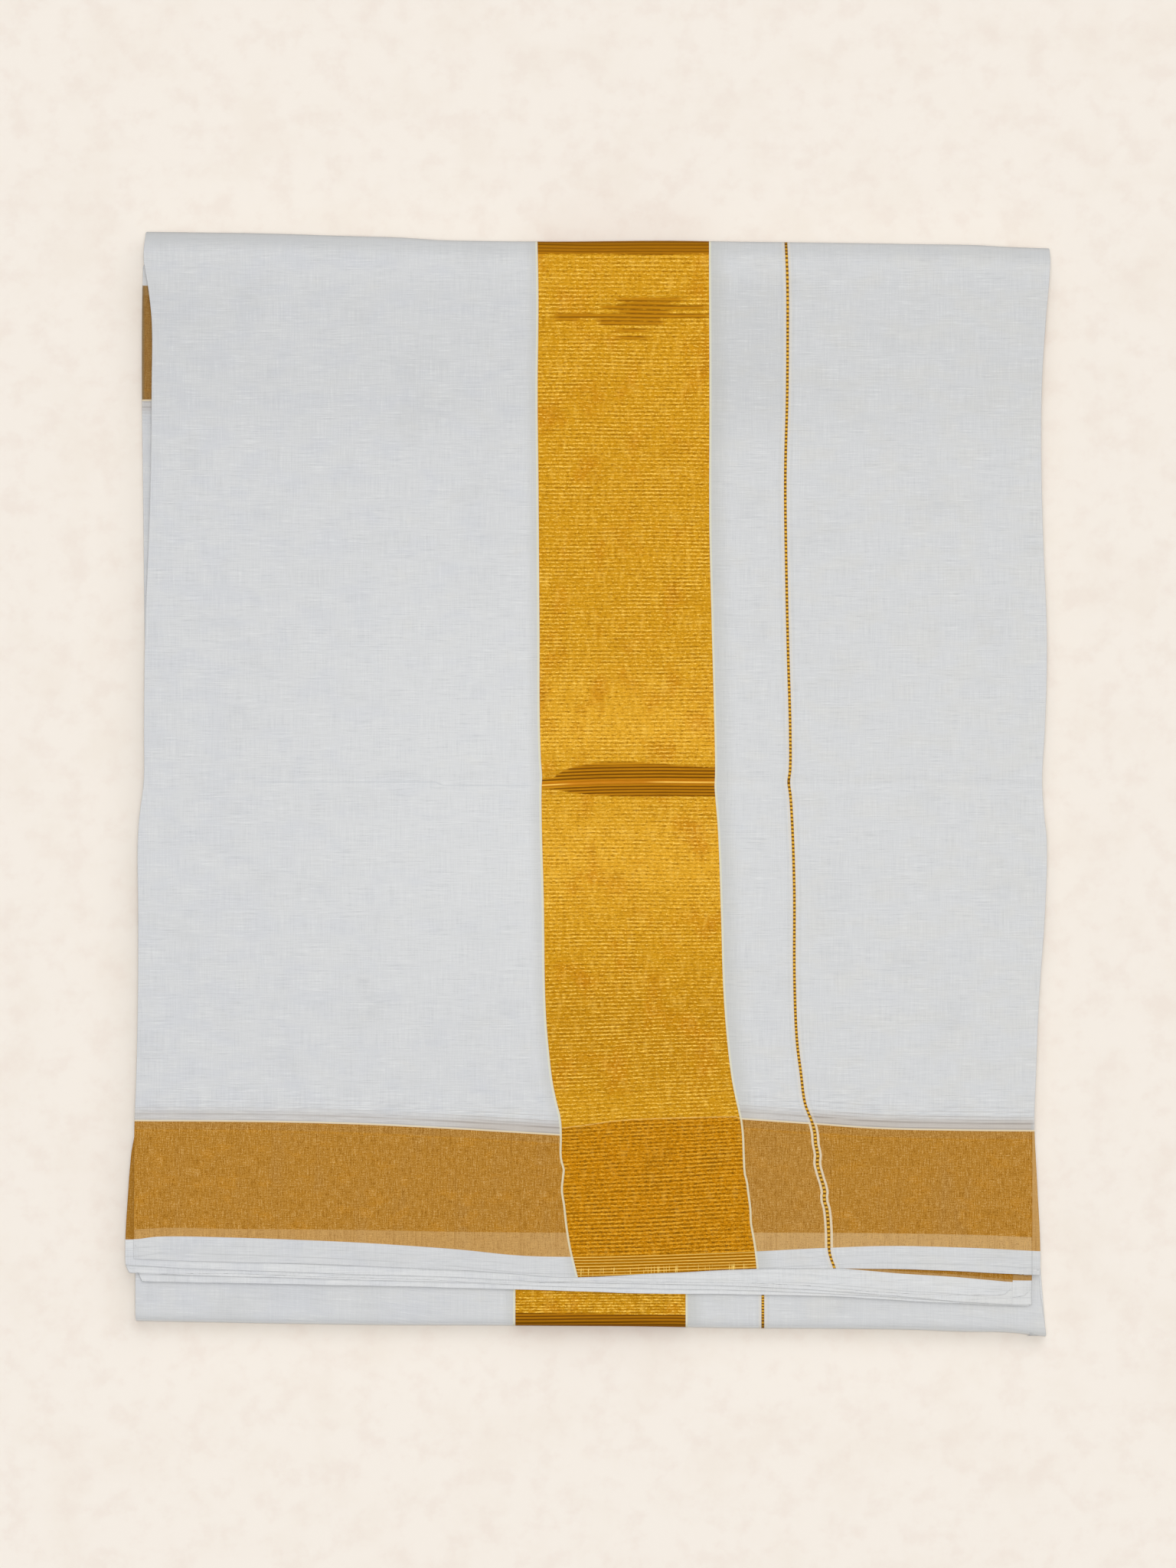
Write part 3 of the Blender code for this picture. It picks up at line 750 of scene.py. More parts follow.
@dataclass(frozen=True)
class ClothSheet:
    """One sheet of the folded cloth, laid along its stations.

    Attributes:
        name: the piece's name.
        stations: the rows' places on the way through the stack.
        sections: cross-sections of the sheets that are joined in the piece.
        flat: width and length of the cut that shows, in millimetres.
        outward: whether each section's face looks away from the bundle as it is drawn.
        thickness: thickness of the cloth, or 0 for a single face.
        outer_ply: depth from either face of the bundle that its first or last ply fills.
    """

    name: str
    stations: tuple[tuple[Station, ...], ...]
    sections: tuple[Section, ...]
    flat: tuple[float, float]
    outward: tuple[bool, ...]
    thickness: float = 0.18
    outer_ply: float = 0.5

    def build(self, stack: FoldedStack, marks: WovenMarks, gold: PressedGold) -> bpy.types.Object:
        """Builds the mesh with its weaving coordinates.

        Args:
            stack: the folded stack.
            marks: the woven stripes and borders.
            gold: the pressed gold threads.

        Returns:
            The new object.
        """
        points, faces = [], []
        layers = {"weave": [], "stripes": [], "border": [], "gold": [], "ribs": []}
        count = 0
        for way, section, outward in zip(self.stations, self.sections, self.outward):
            first = section.depth < self.outer_ply
            last = section.depth > stack.bundle - self.outer_ply
            for station in way:
                row = stack.place(station, section)
                points.append(np.stack([row["x"], row["y"], row["z"]], axis=1) * MM)
                weave = (row["x"], row["run"], section.depth * PLY_SPREAD)
                layers["weave"].append(np.stack(weave, axis=1))
                layers["stripes"].append(marks.stripes(row, first, last))
                layers["border"].append(marks.border(stack, row, section.depth))
                layers["gold"].append(gold.sheen(row, station, last))
                layers["ribs"].append(gold.ribs(row, station))
            faces.append(self.quads(len(way), len(section.across), section.closed, outward) + count)
            count += len(way) * len(section.across)
        mesh = bpy.data.meshes.new(self.name)
        mesh.from_pydata(np.concatenate(points).tolist(), [], np.concatenate(faces).tolist())
        for layer, rows in layers.items():
            attribute = mesh.attributes.new(layer, "FLOAT_VECTOR", "POINT")
            attribute.data.foreach_set("vector", np.concatenate(rows).ravel())
        mesh.polygons.foreach_set("use_smooth", [True] * len(mesh.polygons))
        sheet = bpy.data.objects.new(self.name, mesh)
        bpy.context.scene.collection.objects.link(sheet)
        if self.thickness:
            wall = sheet.modifiers.new("Thickness", "SOLIDIFY")
            wall.thickness, wall.offset = self.thickness * MM, -1.0
        return sheet

    @staticmethod
    def quads(rows: int, columns: int, closed: bool, outward: bool) -> np.ndarray:
        """Joins a grid of points with four-sided faces.

        Args:
            rows: number of rows.
            columns: number of points in each row.
            closed: whether each row's last point joins its first.
            outward: whether the faces keep the order in which they are drawn.

        Returns:
            Four point numbers for each face.
        """
        starts = np.arange(columns if closed else columns - 1)
        row, column = np.meshgrid(np.arange(rows - 1) * columns, starts, indexing="ij")
        after = (column + 1) % columns
        corners = (row + column, row + after, row + columns + after, row + columns + column)
        faces = np.stack([corner.ravel() for corner in corners], axis=1)
        return faces if outward else faces[:, ::-1]


@dataclass(frozen=True)
class PlySections:
    """Cross-sections of the bundle's plies, whose sides roll over into the next ply.

    Attributes:
        loop_pitch: distance between two loops of two plies each.
        roll: radius of the roll at a side.
        turned_in: width of the ply that shows under a rolled side.
        tucked: how much further a plain sheet ends inside the one that rolls round it.
        column, fine_column: distance between a sheet's columns, and in the broad band.
        width: width of the stack.
        band: the broad band's two edges, from the left side.
        beside: places of the further columns at each side.
        roll_points: number of points round a rolled side.
    """

    loop_pitch: float = 0.6125
    roll: float = 0.21
    turned_in: float = 6.0
    tucked: float = 1.0
    column: float = 3.0
    fine_column: float = 1.5
    width: float = 341.0
    band: tuple[float, float] = (147.0, 232.0)
    beside: tuple[float, ...] = (0.5, 1.2, 2.0)
    roll_points: int = 7

    def columns(self, fine: bool = False) -> np.ndarray:
        """Gives the columns of a sheet between its two sides.

        Args:
            fine: whether there are more of them at the sides and in the band.

        Returns:
            Shares of the way from the left side to the right one.
        """
        shares = np.linspace(0, 1, round(self.width / self.column) + 1)[1:-1]
        if fine:
            band = np.arange(self.band[0], self.band[1], self.fine_column) / self.width
            sides = np.array(self.beside) / self.width
            shares = np.unique(np.concatenate([sides, 1 - sides, band, shares]).round(5))
        return shares

    def side_roll(self) -> tuple[np.ndarray, np.ndarray]:
        """Rolls a side over, from its upper ply to its lower one.

        Returns:
            How far in from the side, and how far down, each point lies.
        """
        angle = np.linspace(0, math.pi, self.roll_points)
        return self.roll * (1 - np.sin(angle)), self.roll * (1 - np.cos(angle))

    def rolled(self, depth: float, turn: int, fine: bool = False) -> Section:
        """Makes a full sheet whose two sides roll over.

        Args:
            depth: the sheet's depth in the bundle.
            turn: 1 if its sides roll to deeper plies, or -1 to shallower ones.
            fine: whether its columns are finer at the sides and in the band.

        Returns:
            The cross-section, from the left turned-in edge to the right one.
        """
        under = np.array([self.turned_in, self.turned_in / 3])
        roll_in, roll_down = self.side_roll()
        side_inset = np.concatenate([under + self.roll, roll_in[::-1]])
        side_depth = depth + turn * np.concatenate([np.full(2, 2 * self.roll), roll_down[::-1]])
        inner = self.columns(fine)
        return Section(
            across=np.concatenate([np.zeros(len(side_inset)), inner, np.ones(len(side_inset))]),
            depth=np.concatenate([side_depth, np.full(len(inner), depth), side_depth[::-1]]),
            inset=np.concatenate([side_inset, np.zeros(len(inner)), side_inset[::-1]]),
        )

    def loop(self, number: int, shift: tuple[float, float]) -> Section:
        """Makes a flattened loop of two plies, closed at both sides.

        Args:
            number: the loop's number in the bundle, from 0.
            shift: how far its left and right side stand back.

        Returns:
            The closed cross-section.
        """
        top = number * self.loop_pitch
        inner = self.columns()
        roll_in, roll_down = self.side_roll()
        ends = np.ones(self.roll_points)
        return Section(
            across=np.concatenate([inner, ends, inner[::-1], 0 * ends]),
            depth=np.concatenate([
                np.full(len(inner), top), top + roll_down,
                np.full(len(inner), top + 2 * self.roll), top + roll_down[::-1],
            ]),
            inset=np.concatenate([
                np.zeros(len(inner)), roll_in + shift[1], np.zeros(len(inner)), roll_in + shift[0],
            ]),
            closed=True,
        )

    def flat(self, depth: float) -> Section:
        """Makes a plain sheet that ends inside the turned-in edges of its neighbour."""
        share = np.linspace(0, 1, round(self.width / self.column) + 1)
        ends = (share == 0) | (share == 1)
        from_side = np.minimum(share, 1 - share) * self.width
        keep = ends | (from_side > self.turned_in + 2 * self.tucked)
        inset = np.where(ends, self.turned_in + self.tucked, 0.0)
        return Section(share[keep], np.full(keep.sum(), depth), inset[keep])

    def lip(self, number: int, right: bool, shift: float) -> Section:
        """Makes the rolled side of one loop, open towards the inside of the stack.

        Args:
            number: the loop's number in the bundle.
            right: whether it is on the right side.
            shift: how far it stands back.

        Returns:
            The cross-section, from the upper ply to the lower one.
        """
        top = number * self.loop_pitch
        roll_in, roll_down = self.side_roll()
        under = np.array([self.turned_in, self.turned_in / 3]) + self.roll
        inset = shift + np.concatenate([under, roll_in, under[::-1]])
        depth = top + np.concatenate([np.zeros(2), roll_down, np.full(2, 2 * self.roll)])
        return Section(np.full(len(inset), float(right)), depth, inset)


def hex_colour(code: str) -> tuple[float, float, float, float]:
    """Turns an sRGB hex value into a linear colour.

    Args:
        code: six hex digits after a hash sign.

    Returns:
        The linear red, green, blue and alpha.
    """
    channels = [int(code[start:start + 2], 16) / 255 for start in (1, 3, 5)]
    linear = [c / 12.92 if c <= 0.04045 else ((c + 0.055) / 1.055) ** 2.4 for c in channels]
    return (*linear, 1.0)


def add_node(
    tree: bpy.types.NodeTree,
    kind: str,
    inputs: dict[int | str, object] | None = None,
    output: int | str | None = 0,
    **settings: object,
) -> bpy.types.NodeSocket | None:
    """Adds a node to a material.

    Args:
        tree: the material's node tree.
        kind: the node's type.
        inputs: a value or a socket for each input that is set, by name or number.
        output: the output that is wanted, or None if the node has none.
        settings: the node's own properties.

    Returns:
        The output's socket.
    """
    node = tree.nodes.new(kind)
    for name, value in settings.items():
        setattr(node, name, value)
    for key, value in (inputs or {}).items():
        if isinstance(value, bpy.types.NodeSocket):
            tree.links.new(value, node.inputs[key])
        else:
            node.inputs[key].default_value = value
    return None if output is None else node.outputs[output]


@dataclass(frozen=True)
class Unevenness:
    """The size of a pattern of threads or patches, in millimetres.

    Attributes:
        length: how long a thread or patch is along the cloth.
        height: how high it is across the cloth.
        seed: sets one pattern apart from another.
        detail: how much finer unevenness it holds.
    """

    length: float
    height: float
    seed: float
    detail: float = 2.0


@dataclass(frozen=True)
class WovenLine:
    """A thin line in the weave.

    Attributes:
        place: where its middle lies, from the edge that it follows.
        width: its width.
        soft: width of its soft edge.
        strength: how strongly it shows.
    """

    place: float
    width: float
    soft: float
    strength: float = 1.0


@dataclass(frozen=True)
class Field:
    """A number that varies over the cloth, with the arithmetic that patterns are made from."""

    tree: bpy.types.NodeTree
    socket: bpy.types.NodeSocket

    def math(self, operation: str, other: "Field | float" = 0.0) -> "Field":
        """Combines this number with another one.

        Args:
            operation: the operation's name.
            other: the second number.

        Returns:
            The result.
        """
        value = other.socket if isinstance(other, Field) else other
        inputs = {0: self.socket, 1: value}
        return Field(self.tree, add_node(self.tree, "ShaderNodeMath", inputs, operation=operation))

    def __add__(self, other: "Field | float") -> "Field":
        """Adds."""
        return self.math("ADD", other)

    def __sub__(self, other: "Field | float") -> "Field":
        """Subtracts."""
        return self.math("SUBTRACT", other)

    def __mul__(self, other: "Field | float") -> "Field":
        """Multiplies."""
        return self.math("MULTIPLY", other)

    def either(self, other: "Field | float") -> "Field":
        """Takes the larger of two numbers."""
        return self.math("MAXIMUM", other)

    def distance(self, centre: float = 0.0) -> "Field":
        """Gives the distance from a place."""
        return (self - centre).math("ABSOLUTE")

    def outside(self) -> "Field":
        """Turns a mask inside out."""
        return self * -1.0 + 1.0

    def rises(self, low: float, high: float) -> "Field":
        """Makes a mask that rises smoothly from 0 to 1.

        Args:
            low: the number where it leaves 0, which may be the larger one.
            high: the number where it reaches 1.

        Returns:
            The mask.
        """
        down = low > high
        inputs = {"Value": self.socket, "From Min": min(low, high), "From Max": max(low, high),
                  "To Min": float(down), "To Max": float(not down)}
        return Field(self.tree, add_node(
            self.tree, "ShaderNodeMapRange", inputs, interpolation_type="SMOOTHSTEP"))

    def line(self, centre: float, width: float, soft: float = 0.12) -> "Field":
        """Makes the mask of a woven line.

        Args:
            centre: where its middle lies.
            width: its width in millimetres.
            soft: width of its soft edge.

        Returns:
            The mask.
        """
        return self.distance(centre).rises(width / 2 + soft, width / 2 - soft)

    def lines(self, marks: Iterable[WovenLine]) -> "Field":
        """Makes the mask of several woven lines, the stronger one where two meet."""
        return reduce(Field.either, (self.line(m.place, m.width, m.soft) * m.strength for m in marks))

    def ripple(self, pitch: float, trough: float = 0.0) -> "Field":
        """Makes a wave from 0 to 1.

        Args:
            pitch: distance between two waves, in millimetres.
            trough: a place where the wave is 0.

        Returns:
            The wave.
        """
        return ((self - trough) * (math.tau / pitch)).math("COSINE") * -0.5 + 0.5


@dataclass(frozen=True)
class CottonMull:
    """Combed cotton mull, plain woven and calendered, so matt, sheer and faintly streaked.

    Attributes:
        body: the cloth over the white plies below it, and then its other tones.
        pressed: painted shade along the cross crease.
        stain: brown that has bled from the gilt border.
        shade: soft shade at folds and over the layers below.
        weft: long and short threads along the cloth.
        warp: threads across the cloth.
        blocks: patches where the weft or the warp shows more.
        tint, cloud: patches of warmer and cooler white, and wider patches of shade.
        fading: how the reed marks come and go along the cloth.
        reed_marks: the reed marks, from the border's upper edge.
        selvedge_lines: the lines in the white selvedge, from the border's lower edge.
    """

    body: str = "#D5D6D7"
    # bright is painted light on the crown, the deeper plies and the left strip; thick also serves as
    # painted light along the bottom fold's edge
    bright: str = "#E4E5E5"
    thin: str = "#BDBFC1"
    thick_thread_and_highlight: str = "#EBECEB"
    warm: str = "#D8D6CF"
    cool: str = "#CED0D5"
    pressed: str = "#C2C5C8"
    reed_mark: str = "#9E958E"
    stain: str = "#BDB3A8"
    shade: str = "#BBBCBC"
    band_shade: str = "#BCBBB3"
    # The real threads lie about 0.3 mm apart, too fine to show. They are drawn coarser,
    # 0.42 to 0.5 mm apart, which gives the eye the mull's fine streaks.
    weft: tuple[Unevenness, Unevenness] = (Unevenness(15.0, 0.5, 1.0), Unevenness(6.0, 0.42, 2.0))
    warp: Unevenness = Unevenness(0.5, 11.0, 3.0)
    blocks: Unevenness = Unevenness(12.0, 7.0, 4.0, 3.0)
    tint: Unevenness = Unevenness(14.0, 9.0, 5.0, 3.0)
    cloud: Unevenness = Unevenness(22.0, 16.0, 8.0, 3.0)
    fading: Unevenness = Unevenness(40.0, 1.2, 7.0)
    reed_marks: tuple[WovenLine, ...] = (
        WovenLine(0.9, 0.3, 0.2), WovenLine(2.9, 0.6, 0.3), WovenLine(4.0, 0.3, 0.2, 0.6),
        WovenLine(5.3, 0.3, 0.2, 0.6), WovenLine(7.2, 0.3, 0.2, 0.35), WovenLine(8.9, 0.3, 0.2, 0.25),
    )
    selvedge_lines: tuple[WovenLine, ...] = (
        WovenLine(-6.5, 0.35, 0.15), WovenLine(-3.4, 0.3, 0.15, 0.6),
    )


@dataclass(frozen=True)
class GiltThread:
    """Gilt metallic thread woven as weft, so ribbed, glittering, and dull where it is pressed, where
    painted shade darkens it.

    Attributes:
        shadow: grooves between the ribs.
        body: the threads' own gold, and then its other tones, among them a painted sheen, painted glints
            and painted shade where the gold is pressed.
        crossing: the band where it crosses the border.
        reed_line: pale lines and loose ends at the band's foot.
        seam: where the band meets the border's upper edge.
        cord: the cord along each side of the band.
        reed_pitch: distance between the pale lines at the foot, and the place of one gap.
        beads, speck, slub: the glitter's beads along a rib, its finest specks, and thicker
            places in a thread.
        slow, tone: patches where the ribs are deeper, and patches of warmer gold.
        stray: how a pressed edge strays.
        ends: the loose ends at the foot.
        streak: streaks across the ribs.
    """

    shadow: str = "#976309"
    body: str = "#C79017"
    orange: str = "#BF7B0C"
    # burnished and dull are the painted sheen, lighter and darker gold where the band catches or misses
    # the light
    sheen_highlight: str = "#DAA32B"
    dull: str = "#B47D09"
    glint: str = "#F6CA5C"
    # pressed_shadow and pressed_gold_shade are painted shade where folds, the crease and the dimple turn
    # the gold from the light
    pressed_shadow: str = "#683D03"
    pressed_gold_shade: str = "#AF730C"
    crease_orange: str = "#C57B12"
    crossing: str = "#BB7900"
    crossing_glint: str = "#F2B93A"
    crossing_shadow: str = "#754A05"
    reed_line: str = "#EBC76A"
    seam: str = "#D9AE62"
    cord: str = "#DFDBC0"
    cord_on_border: str = "#DFD2B0"
    reed_pitch: tuple[float, float] = (1.13, -0.9)
    # The real gilt threads are about 0.3 mm wide. Their specks are drawn 0.42 mm wide, so that
    # the glitter shows.
    beads: Unevenness = Unevenness(1.3, 0.6, 31.0)
    speck: Unevenness = Unevenness(0.42, 0.42, 32.0, 1.0)
    slub: Unevenness = Unevenness(7.0, 0.9, 33.0)
    slow: Unevenness = Unevenness(30.0, 14.0, 34.0)
    tone: Unevenness = Unevenness(14.0, 18.0, 35.0, 3.0)
    stray: Unevenness = Unevenness(2.0, 0.7, 36.0)
    ends: Unevenness = Unevenness(0.55, 9.0, 37.0)
    streak: Unevenness = Unevenness(2.2, 8.0, 38.0)


@dataclass(frozen=True)
class ThinLine:
    """Gilt thread between two white cords, a line of stitches along the whole cloth.

    Attributes:
        width: width of the gilt thread.
        cord_offset: distance from its middle to each cord's middle.
        cord_width: width of a cord.
        brown: the ground between the gold stitches.
        stray: how the stitches stray.
    """

    width: float = 1.05
    cord_offset: float = 1.1
    cord_width: float = 0.85
    brown: str = "#70490A"
    gold: str = "#E0AE40"
    cord: str = "#E3D5BA"
    stray: Unevenness = Unevenness(3.0, 1.0, 41.0)


@dataclass(frozen=True)
class GiltBorder:
    """Gilt warp crossed by white cotton weft, so a matt brown gold with a fine upright grain.

    Attributes:
        body: the border's own gold.
        shadow, light: dark places between threads, and white weft that shows between them.
        pale: the strip that one ply less lies under, and the rolled side.
        between: the gap between the broad band and the thin line.
        deeper, reverse: painted shade on the border of hidden and turned-over plies, and the border's
            reverse side.
        grain, cross, speck: upright threads, weft threads across them, and where both meet.
        zone, patch: zones of grey, and warmer patches.
        reed: darker stripes that the reed leaves.
    """

    body: str = "#B6812F"
    shadow: str = "#8F5C12"
    light: str = "#D8AC68"
    grey: str = "#A9834F"
    orange: str = "#C2872A"
    pale: str = "#CBA46B"
    between: str = "#B68743"
    deeper: str = "#7F5413"
    reverse: str = "#857559"
    edge_line: str = "#E8D5AC"
    # Here too the threads are drawn coarser than the real 0.3 mm, 0.42 to 0.45 mm apart
    grain: Unevenness = Unevenness(0.42, 4.0, 11.0)
    cross: Unevenness = Unevenness(3.0, 0.42, 12.0)
    speck: Unevenness = Unevenness(0.45, 0.45, 13.0, 1.0)
    zone: Unevenness = Unevenness(12.0, 60.0, 14.0, 3.0)
    patch: Unevenness = Unevenness(9.0, 6.0, 15.0, 3.0)
    reed: Unevenness = Unevenness(1.1, 90.0, 16.0)


@dataclass(frozen=True)
class WovenSaree:
    """The cloth's one material: its weaves lie where the sheets' coordinates say.

    Attributes:
        rib: distance between the band's ribs.
        rib_trough: place of one groove between two ribs.
        above_crease: distance between the pressed ribs above the cross crease, and one groove.
        below_crease: the same below it.
        roll_left, roll_right: where the top ply starts to roll over at each side.
        side_fold_ends: between these places the fold line at the right side fades out.
        turned_over: past these places on the bundle's way the cloth has turned over.
        at_low_fold: between these places it reaches the bottom fold.
        deeper_plies: depths, spread as in the weave coordinate, where the hidden plies start.
        last_ply: depths where the last ply starts, spread in the same way.
        cotton_roughness: roughness of matt cotton.
        border_roughness, gilt_roughness: the same of gilt warp among cotton, and of gilt weft.
        border_metallic, gilt_metallic: how far they shine as metal, with foil wound on cotton.
        thread_relief: height of the threads and ribs.
    """

    cotton: CottonMull = CottonMull()
    gilt: GiltThread = GiltThread()
    thin: ThinLine = ThinLine()
    border: GiltBorder = GiltBorder()
    rib: float = 1.432
    rib_trough: float = 68.8
    above_crease: tuple[float, float] = (1.25, 1.79)
    below_crease: tuple[float, float] = (1.15, -0.45)
    roll_left: float = -171.2
    roll_right: float = 167.8
    side_fold_ends: tuple[float, float] = (-127.0, -129.5)
    turned_over: tuple[float, float] = (300.0, 301.0)
    at_low_fold: tuple[float, float] = (400.0, 410.0)
    deeper_plies: tuple[float, float] = (20.0, 30.0)
    last_ply: tuple[float, float] = (185.0, 190.0)
    cotton_roughness: float = 0.9
    border_roughness: float = 0.75
    gilt_roughness: float = 0.55
    border_metallic: float = 0.08
    gilt_metallic: float = 0.3
    thread_relief: float = 0.2

    def coordinate(self, tree: bpy.types.NodeTree, layer: str) -> tuple[Field, Field, Field]:
        """Reads one of the sheets' coordinates.

        Args:
            tree: the material's node tree.
            layer: the coordinate's name.

        Returns:
            Its three numbers.
        """
        vector = add_node(tree, "ShaderNodeAttribute", output="Vector", attribute_name=layer)
        return tuple(
            Field(tree, add_node(tree, "ShaderNodeSeparateXYZ", {0: vector}, output=axis))
            for axis in range(3)
        )

    def between_stripes(self, tree: bpy.types.NodeTree) -> Field:
        """Gives the mask of the gap between the broad band and the thin line."""
        _, from_right, from_line = self.coordinate(tree, "stripes")
        return from_right.rises(0.0, 1.5) * from_line.rises(0.0, -1.5)

    def side_fold(self, x: Field, run: Field) -> Field:
        """Gives the mask of the fold line where the top ply rolls over on the right."""
        return x.line(self.roll_right, 0.5, 0.3) * run.rises(*self.side_fold_ends)

    def threads(self, tree: bpy.types.NodeTree, size: Unevenness) -> Field:
        """Makes the unevenness of threads or patches.

        Args:
            tree: the material's node tree.
            size: the pattern's size.

        Returns:
            A number around zero, seldom beyond a quarter.
        """
        vector = add_node(tree, "ShaderNodeAttribute", output="Vector", attribute_name="weave")
        scale = (1 / size.length, 1 / size.height, 0.37)
        start = (size.seed * 17.3, size.seed * 9.1, size.seed)
        inputs = {0: vector, 1: scale, 2: start}
        place = add_node(tree, "ShaderNodeVectorMath", inputs, operation="MULTIPLY_ADD")
        inputs = {"Vector": place, "Scale": 1.0, "Detail": size.detail, "Roughness": 0.55}
        return Field(tree, add_node(tree, "ShaderNodeTexNoise", inputs)) - 0.5

    def paint(
        self, tree: bpy.types.NodeTree, ground: bpy.types.NodeSocket, layers: list[tuple[str, Field]]
    ) -> bpy.types.NodeSocket:
        """Lays colours over a ground.

        Args:
            tree: the material's node tree.
            ground: the colour under them.
            layers: colours and masks, from the ground up.

        Returns:
            The resulting colour.
        """
        for colour, where in layers:
            inputs = {0: where.socket, 6: ground, 7: hex_colour(colour)}
            ground = add_node(tree, "ShaderNodeMix", inputs, output=2, data_type="RGBA")
        return ground

    def dress(self) -> bpy.types.Material:
        """Makes the material.

        Returns:
            The material for every sheet of the saree.
        """
        material = bpy.data.materials.new("woven_saree")
        material.use_nodes = True
        tree = material.node_tree
        tree.nodes.clear()
        from_left, from_right, from_line = self.coordinate(tree, "stripes")
        from_low, _, from_top = self.coordinate(tree, "border")
        in_border = from_low.rises(-0.15, 0.15) * from_top.rises(0.15, -0.15)
        in_band = from_left.rises(-0.12, 0.12) * from_right.rises(0.12, -0.12)
        in_line = from_line.line(0.0, self.thin.width)

        ground = add_node(tree, "ShaderNodeRGB")
        ground.default_value = hex_colour(self.cotton.body)
        cotton, cotton_relief = self.cotton_layers(tree)
        border = self.border_layers(tree, in_border)
        band, band_relief = self.band_layers(tree, in_band, in_border)
        layers = cotton + border + band + self.line_layers(tree, in_line, in_border)
        colour = self.paint(tree, ground, layers)

        gilt = in_band.either(in_line)
        only_border = in_border * gilt.outside()
        metallic = gilt * self.gilt_metallic + only_border * self.border_metallic
        roughness = (
            gilt * (self.gilt_roughness - self.cotton_roughness)
            + only_border * (self.border_roughness - self.cotton_roughness)
            + self.cotton_roughness
        )
        height = cotton_relief + band_relief * in_band + in_line * 0.3
        bump = add_node(tree, "ShaderNodeBump", {
            "Strength": 0.6, "Distance": self.thread_relief * MM, "Height": height.socket,
        })
        shader = add_node(tree, "ShaderNodeBsdfPrincipled", {
            "Base Color": colour, "Metallic": metallic.socket, "Roughness": roughness.socket,
            "Specular IOR Level": 0.03, "Sheen Weight": 0.01, "Sheen Roughness": 0.5, "Normal": bump,
        })
        add_node(tree, "ShaderNodeOutputMaterial", {"Surface": shader}, output=None)
        return material

    def cotton_layers(self, tree: bpy.types.NodeTree) -> tuple[list[tuple[str, Field]], Field]:
        """Lists the white cotton's tones and the reed marks beside the border.

        Args:
            tree: the material's node tree.

        Returns:
            Colours and masks, from the ground up, and the relief of the threads.
        """
        cotton = self.cotton
        x, run, depth = self.coordinate(tree, "weave")
        from_low, _, from_top = self.coordinate(tree, "border")
        _, _, from_crease = self.coordinate(tree, "gold")
        from_left, from_right, from_line = self.coordinate(tree, "stripes")
        _, inside, _ = self.coordinate(tree, "ribs")
        at_low_fold = run.rises(*self.at_low_fold)
        above = from_top.rises(-0.2, 0.2)

        # Threads show more near the border, and a little less round the bottom fold
        long_weft, short_weft = (self.threads(tree, size) for size in cotton.weft)
        weft, warp = long_weft + short_weft, self.threads(tree, cotton.warp)
        blocks = self.threads(tree, cotton.blocks)
        tint = self.threads(tree, cotton.tint) + x * 0.0008
        cloud = self.threads(tree, cotton.cloud)
        near_border = from_top.rises(16.0, 1.0) * above
        shown = weft * (blocks * 3.0 + 0.9 + near_border * 1.3) + warp * (blocks * -2.0 + 0.85)
        shown = shown * (at_low_fold * -0.2 + 1.0)

        # Marks beside the border, which are fainter on the left and beyond the broad band
        right_side = x.rises(-62.0, -38.0) * 0.4 + 0.45
        past_band = self.between_stripes(tree) * -0.4 + 1.0
        past_roll = x.rises(self.roll_right, self.roll_right + 0.8) * -0.5 + 1.0
        marked = right_side * past_band * past_roll
        stained = from_top.rises(6.8, 2.0) * above * marked
        fading = self.threads(tree, cotton.fading).rises(-0.25, 0.05)

        # Painted light on the crown and on the deeper plies and left strip, painted shade at the
        # top-left corner and turned-under right side, and shade where lower layers show through
        glow = (
            run.rises(150.0, 0.0) * run.rises(-130.0, -20.0)
            * (x.distance(-28.0).rises(120.0, 10.0) * 0.62 + 0.38)
        )
        shown_through = run.rises(196.0, 184.0) * run.rises(120.0, 148.0)
        in_gap = from_right.rises(0.0, 2.0) * from_line.rises(0.0, -2.0)
        top_corner = x.rises(-105.0, -160.0) * run.rises(120.0, 175.0) * at_low_fold.outside()
        deep_ply = depth.rises(*self.deeper_plies) * depth.rises(190.0, 180.0)
        turned = x.rises(168.0, 169.2) * deep_ply
        painted_light_on_plies = deep_ply.either(run.rises(*self.turned_over) * depth.rises(25.0, 20.0))
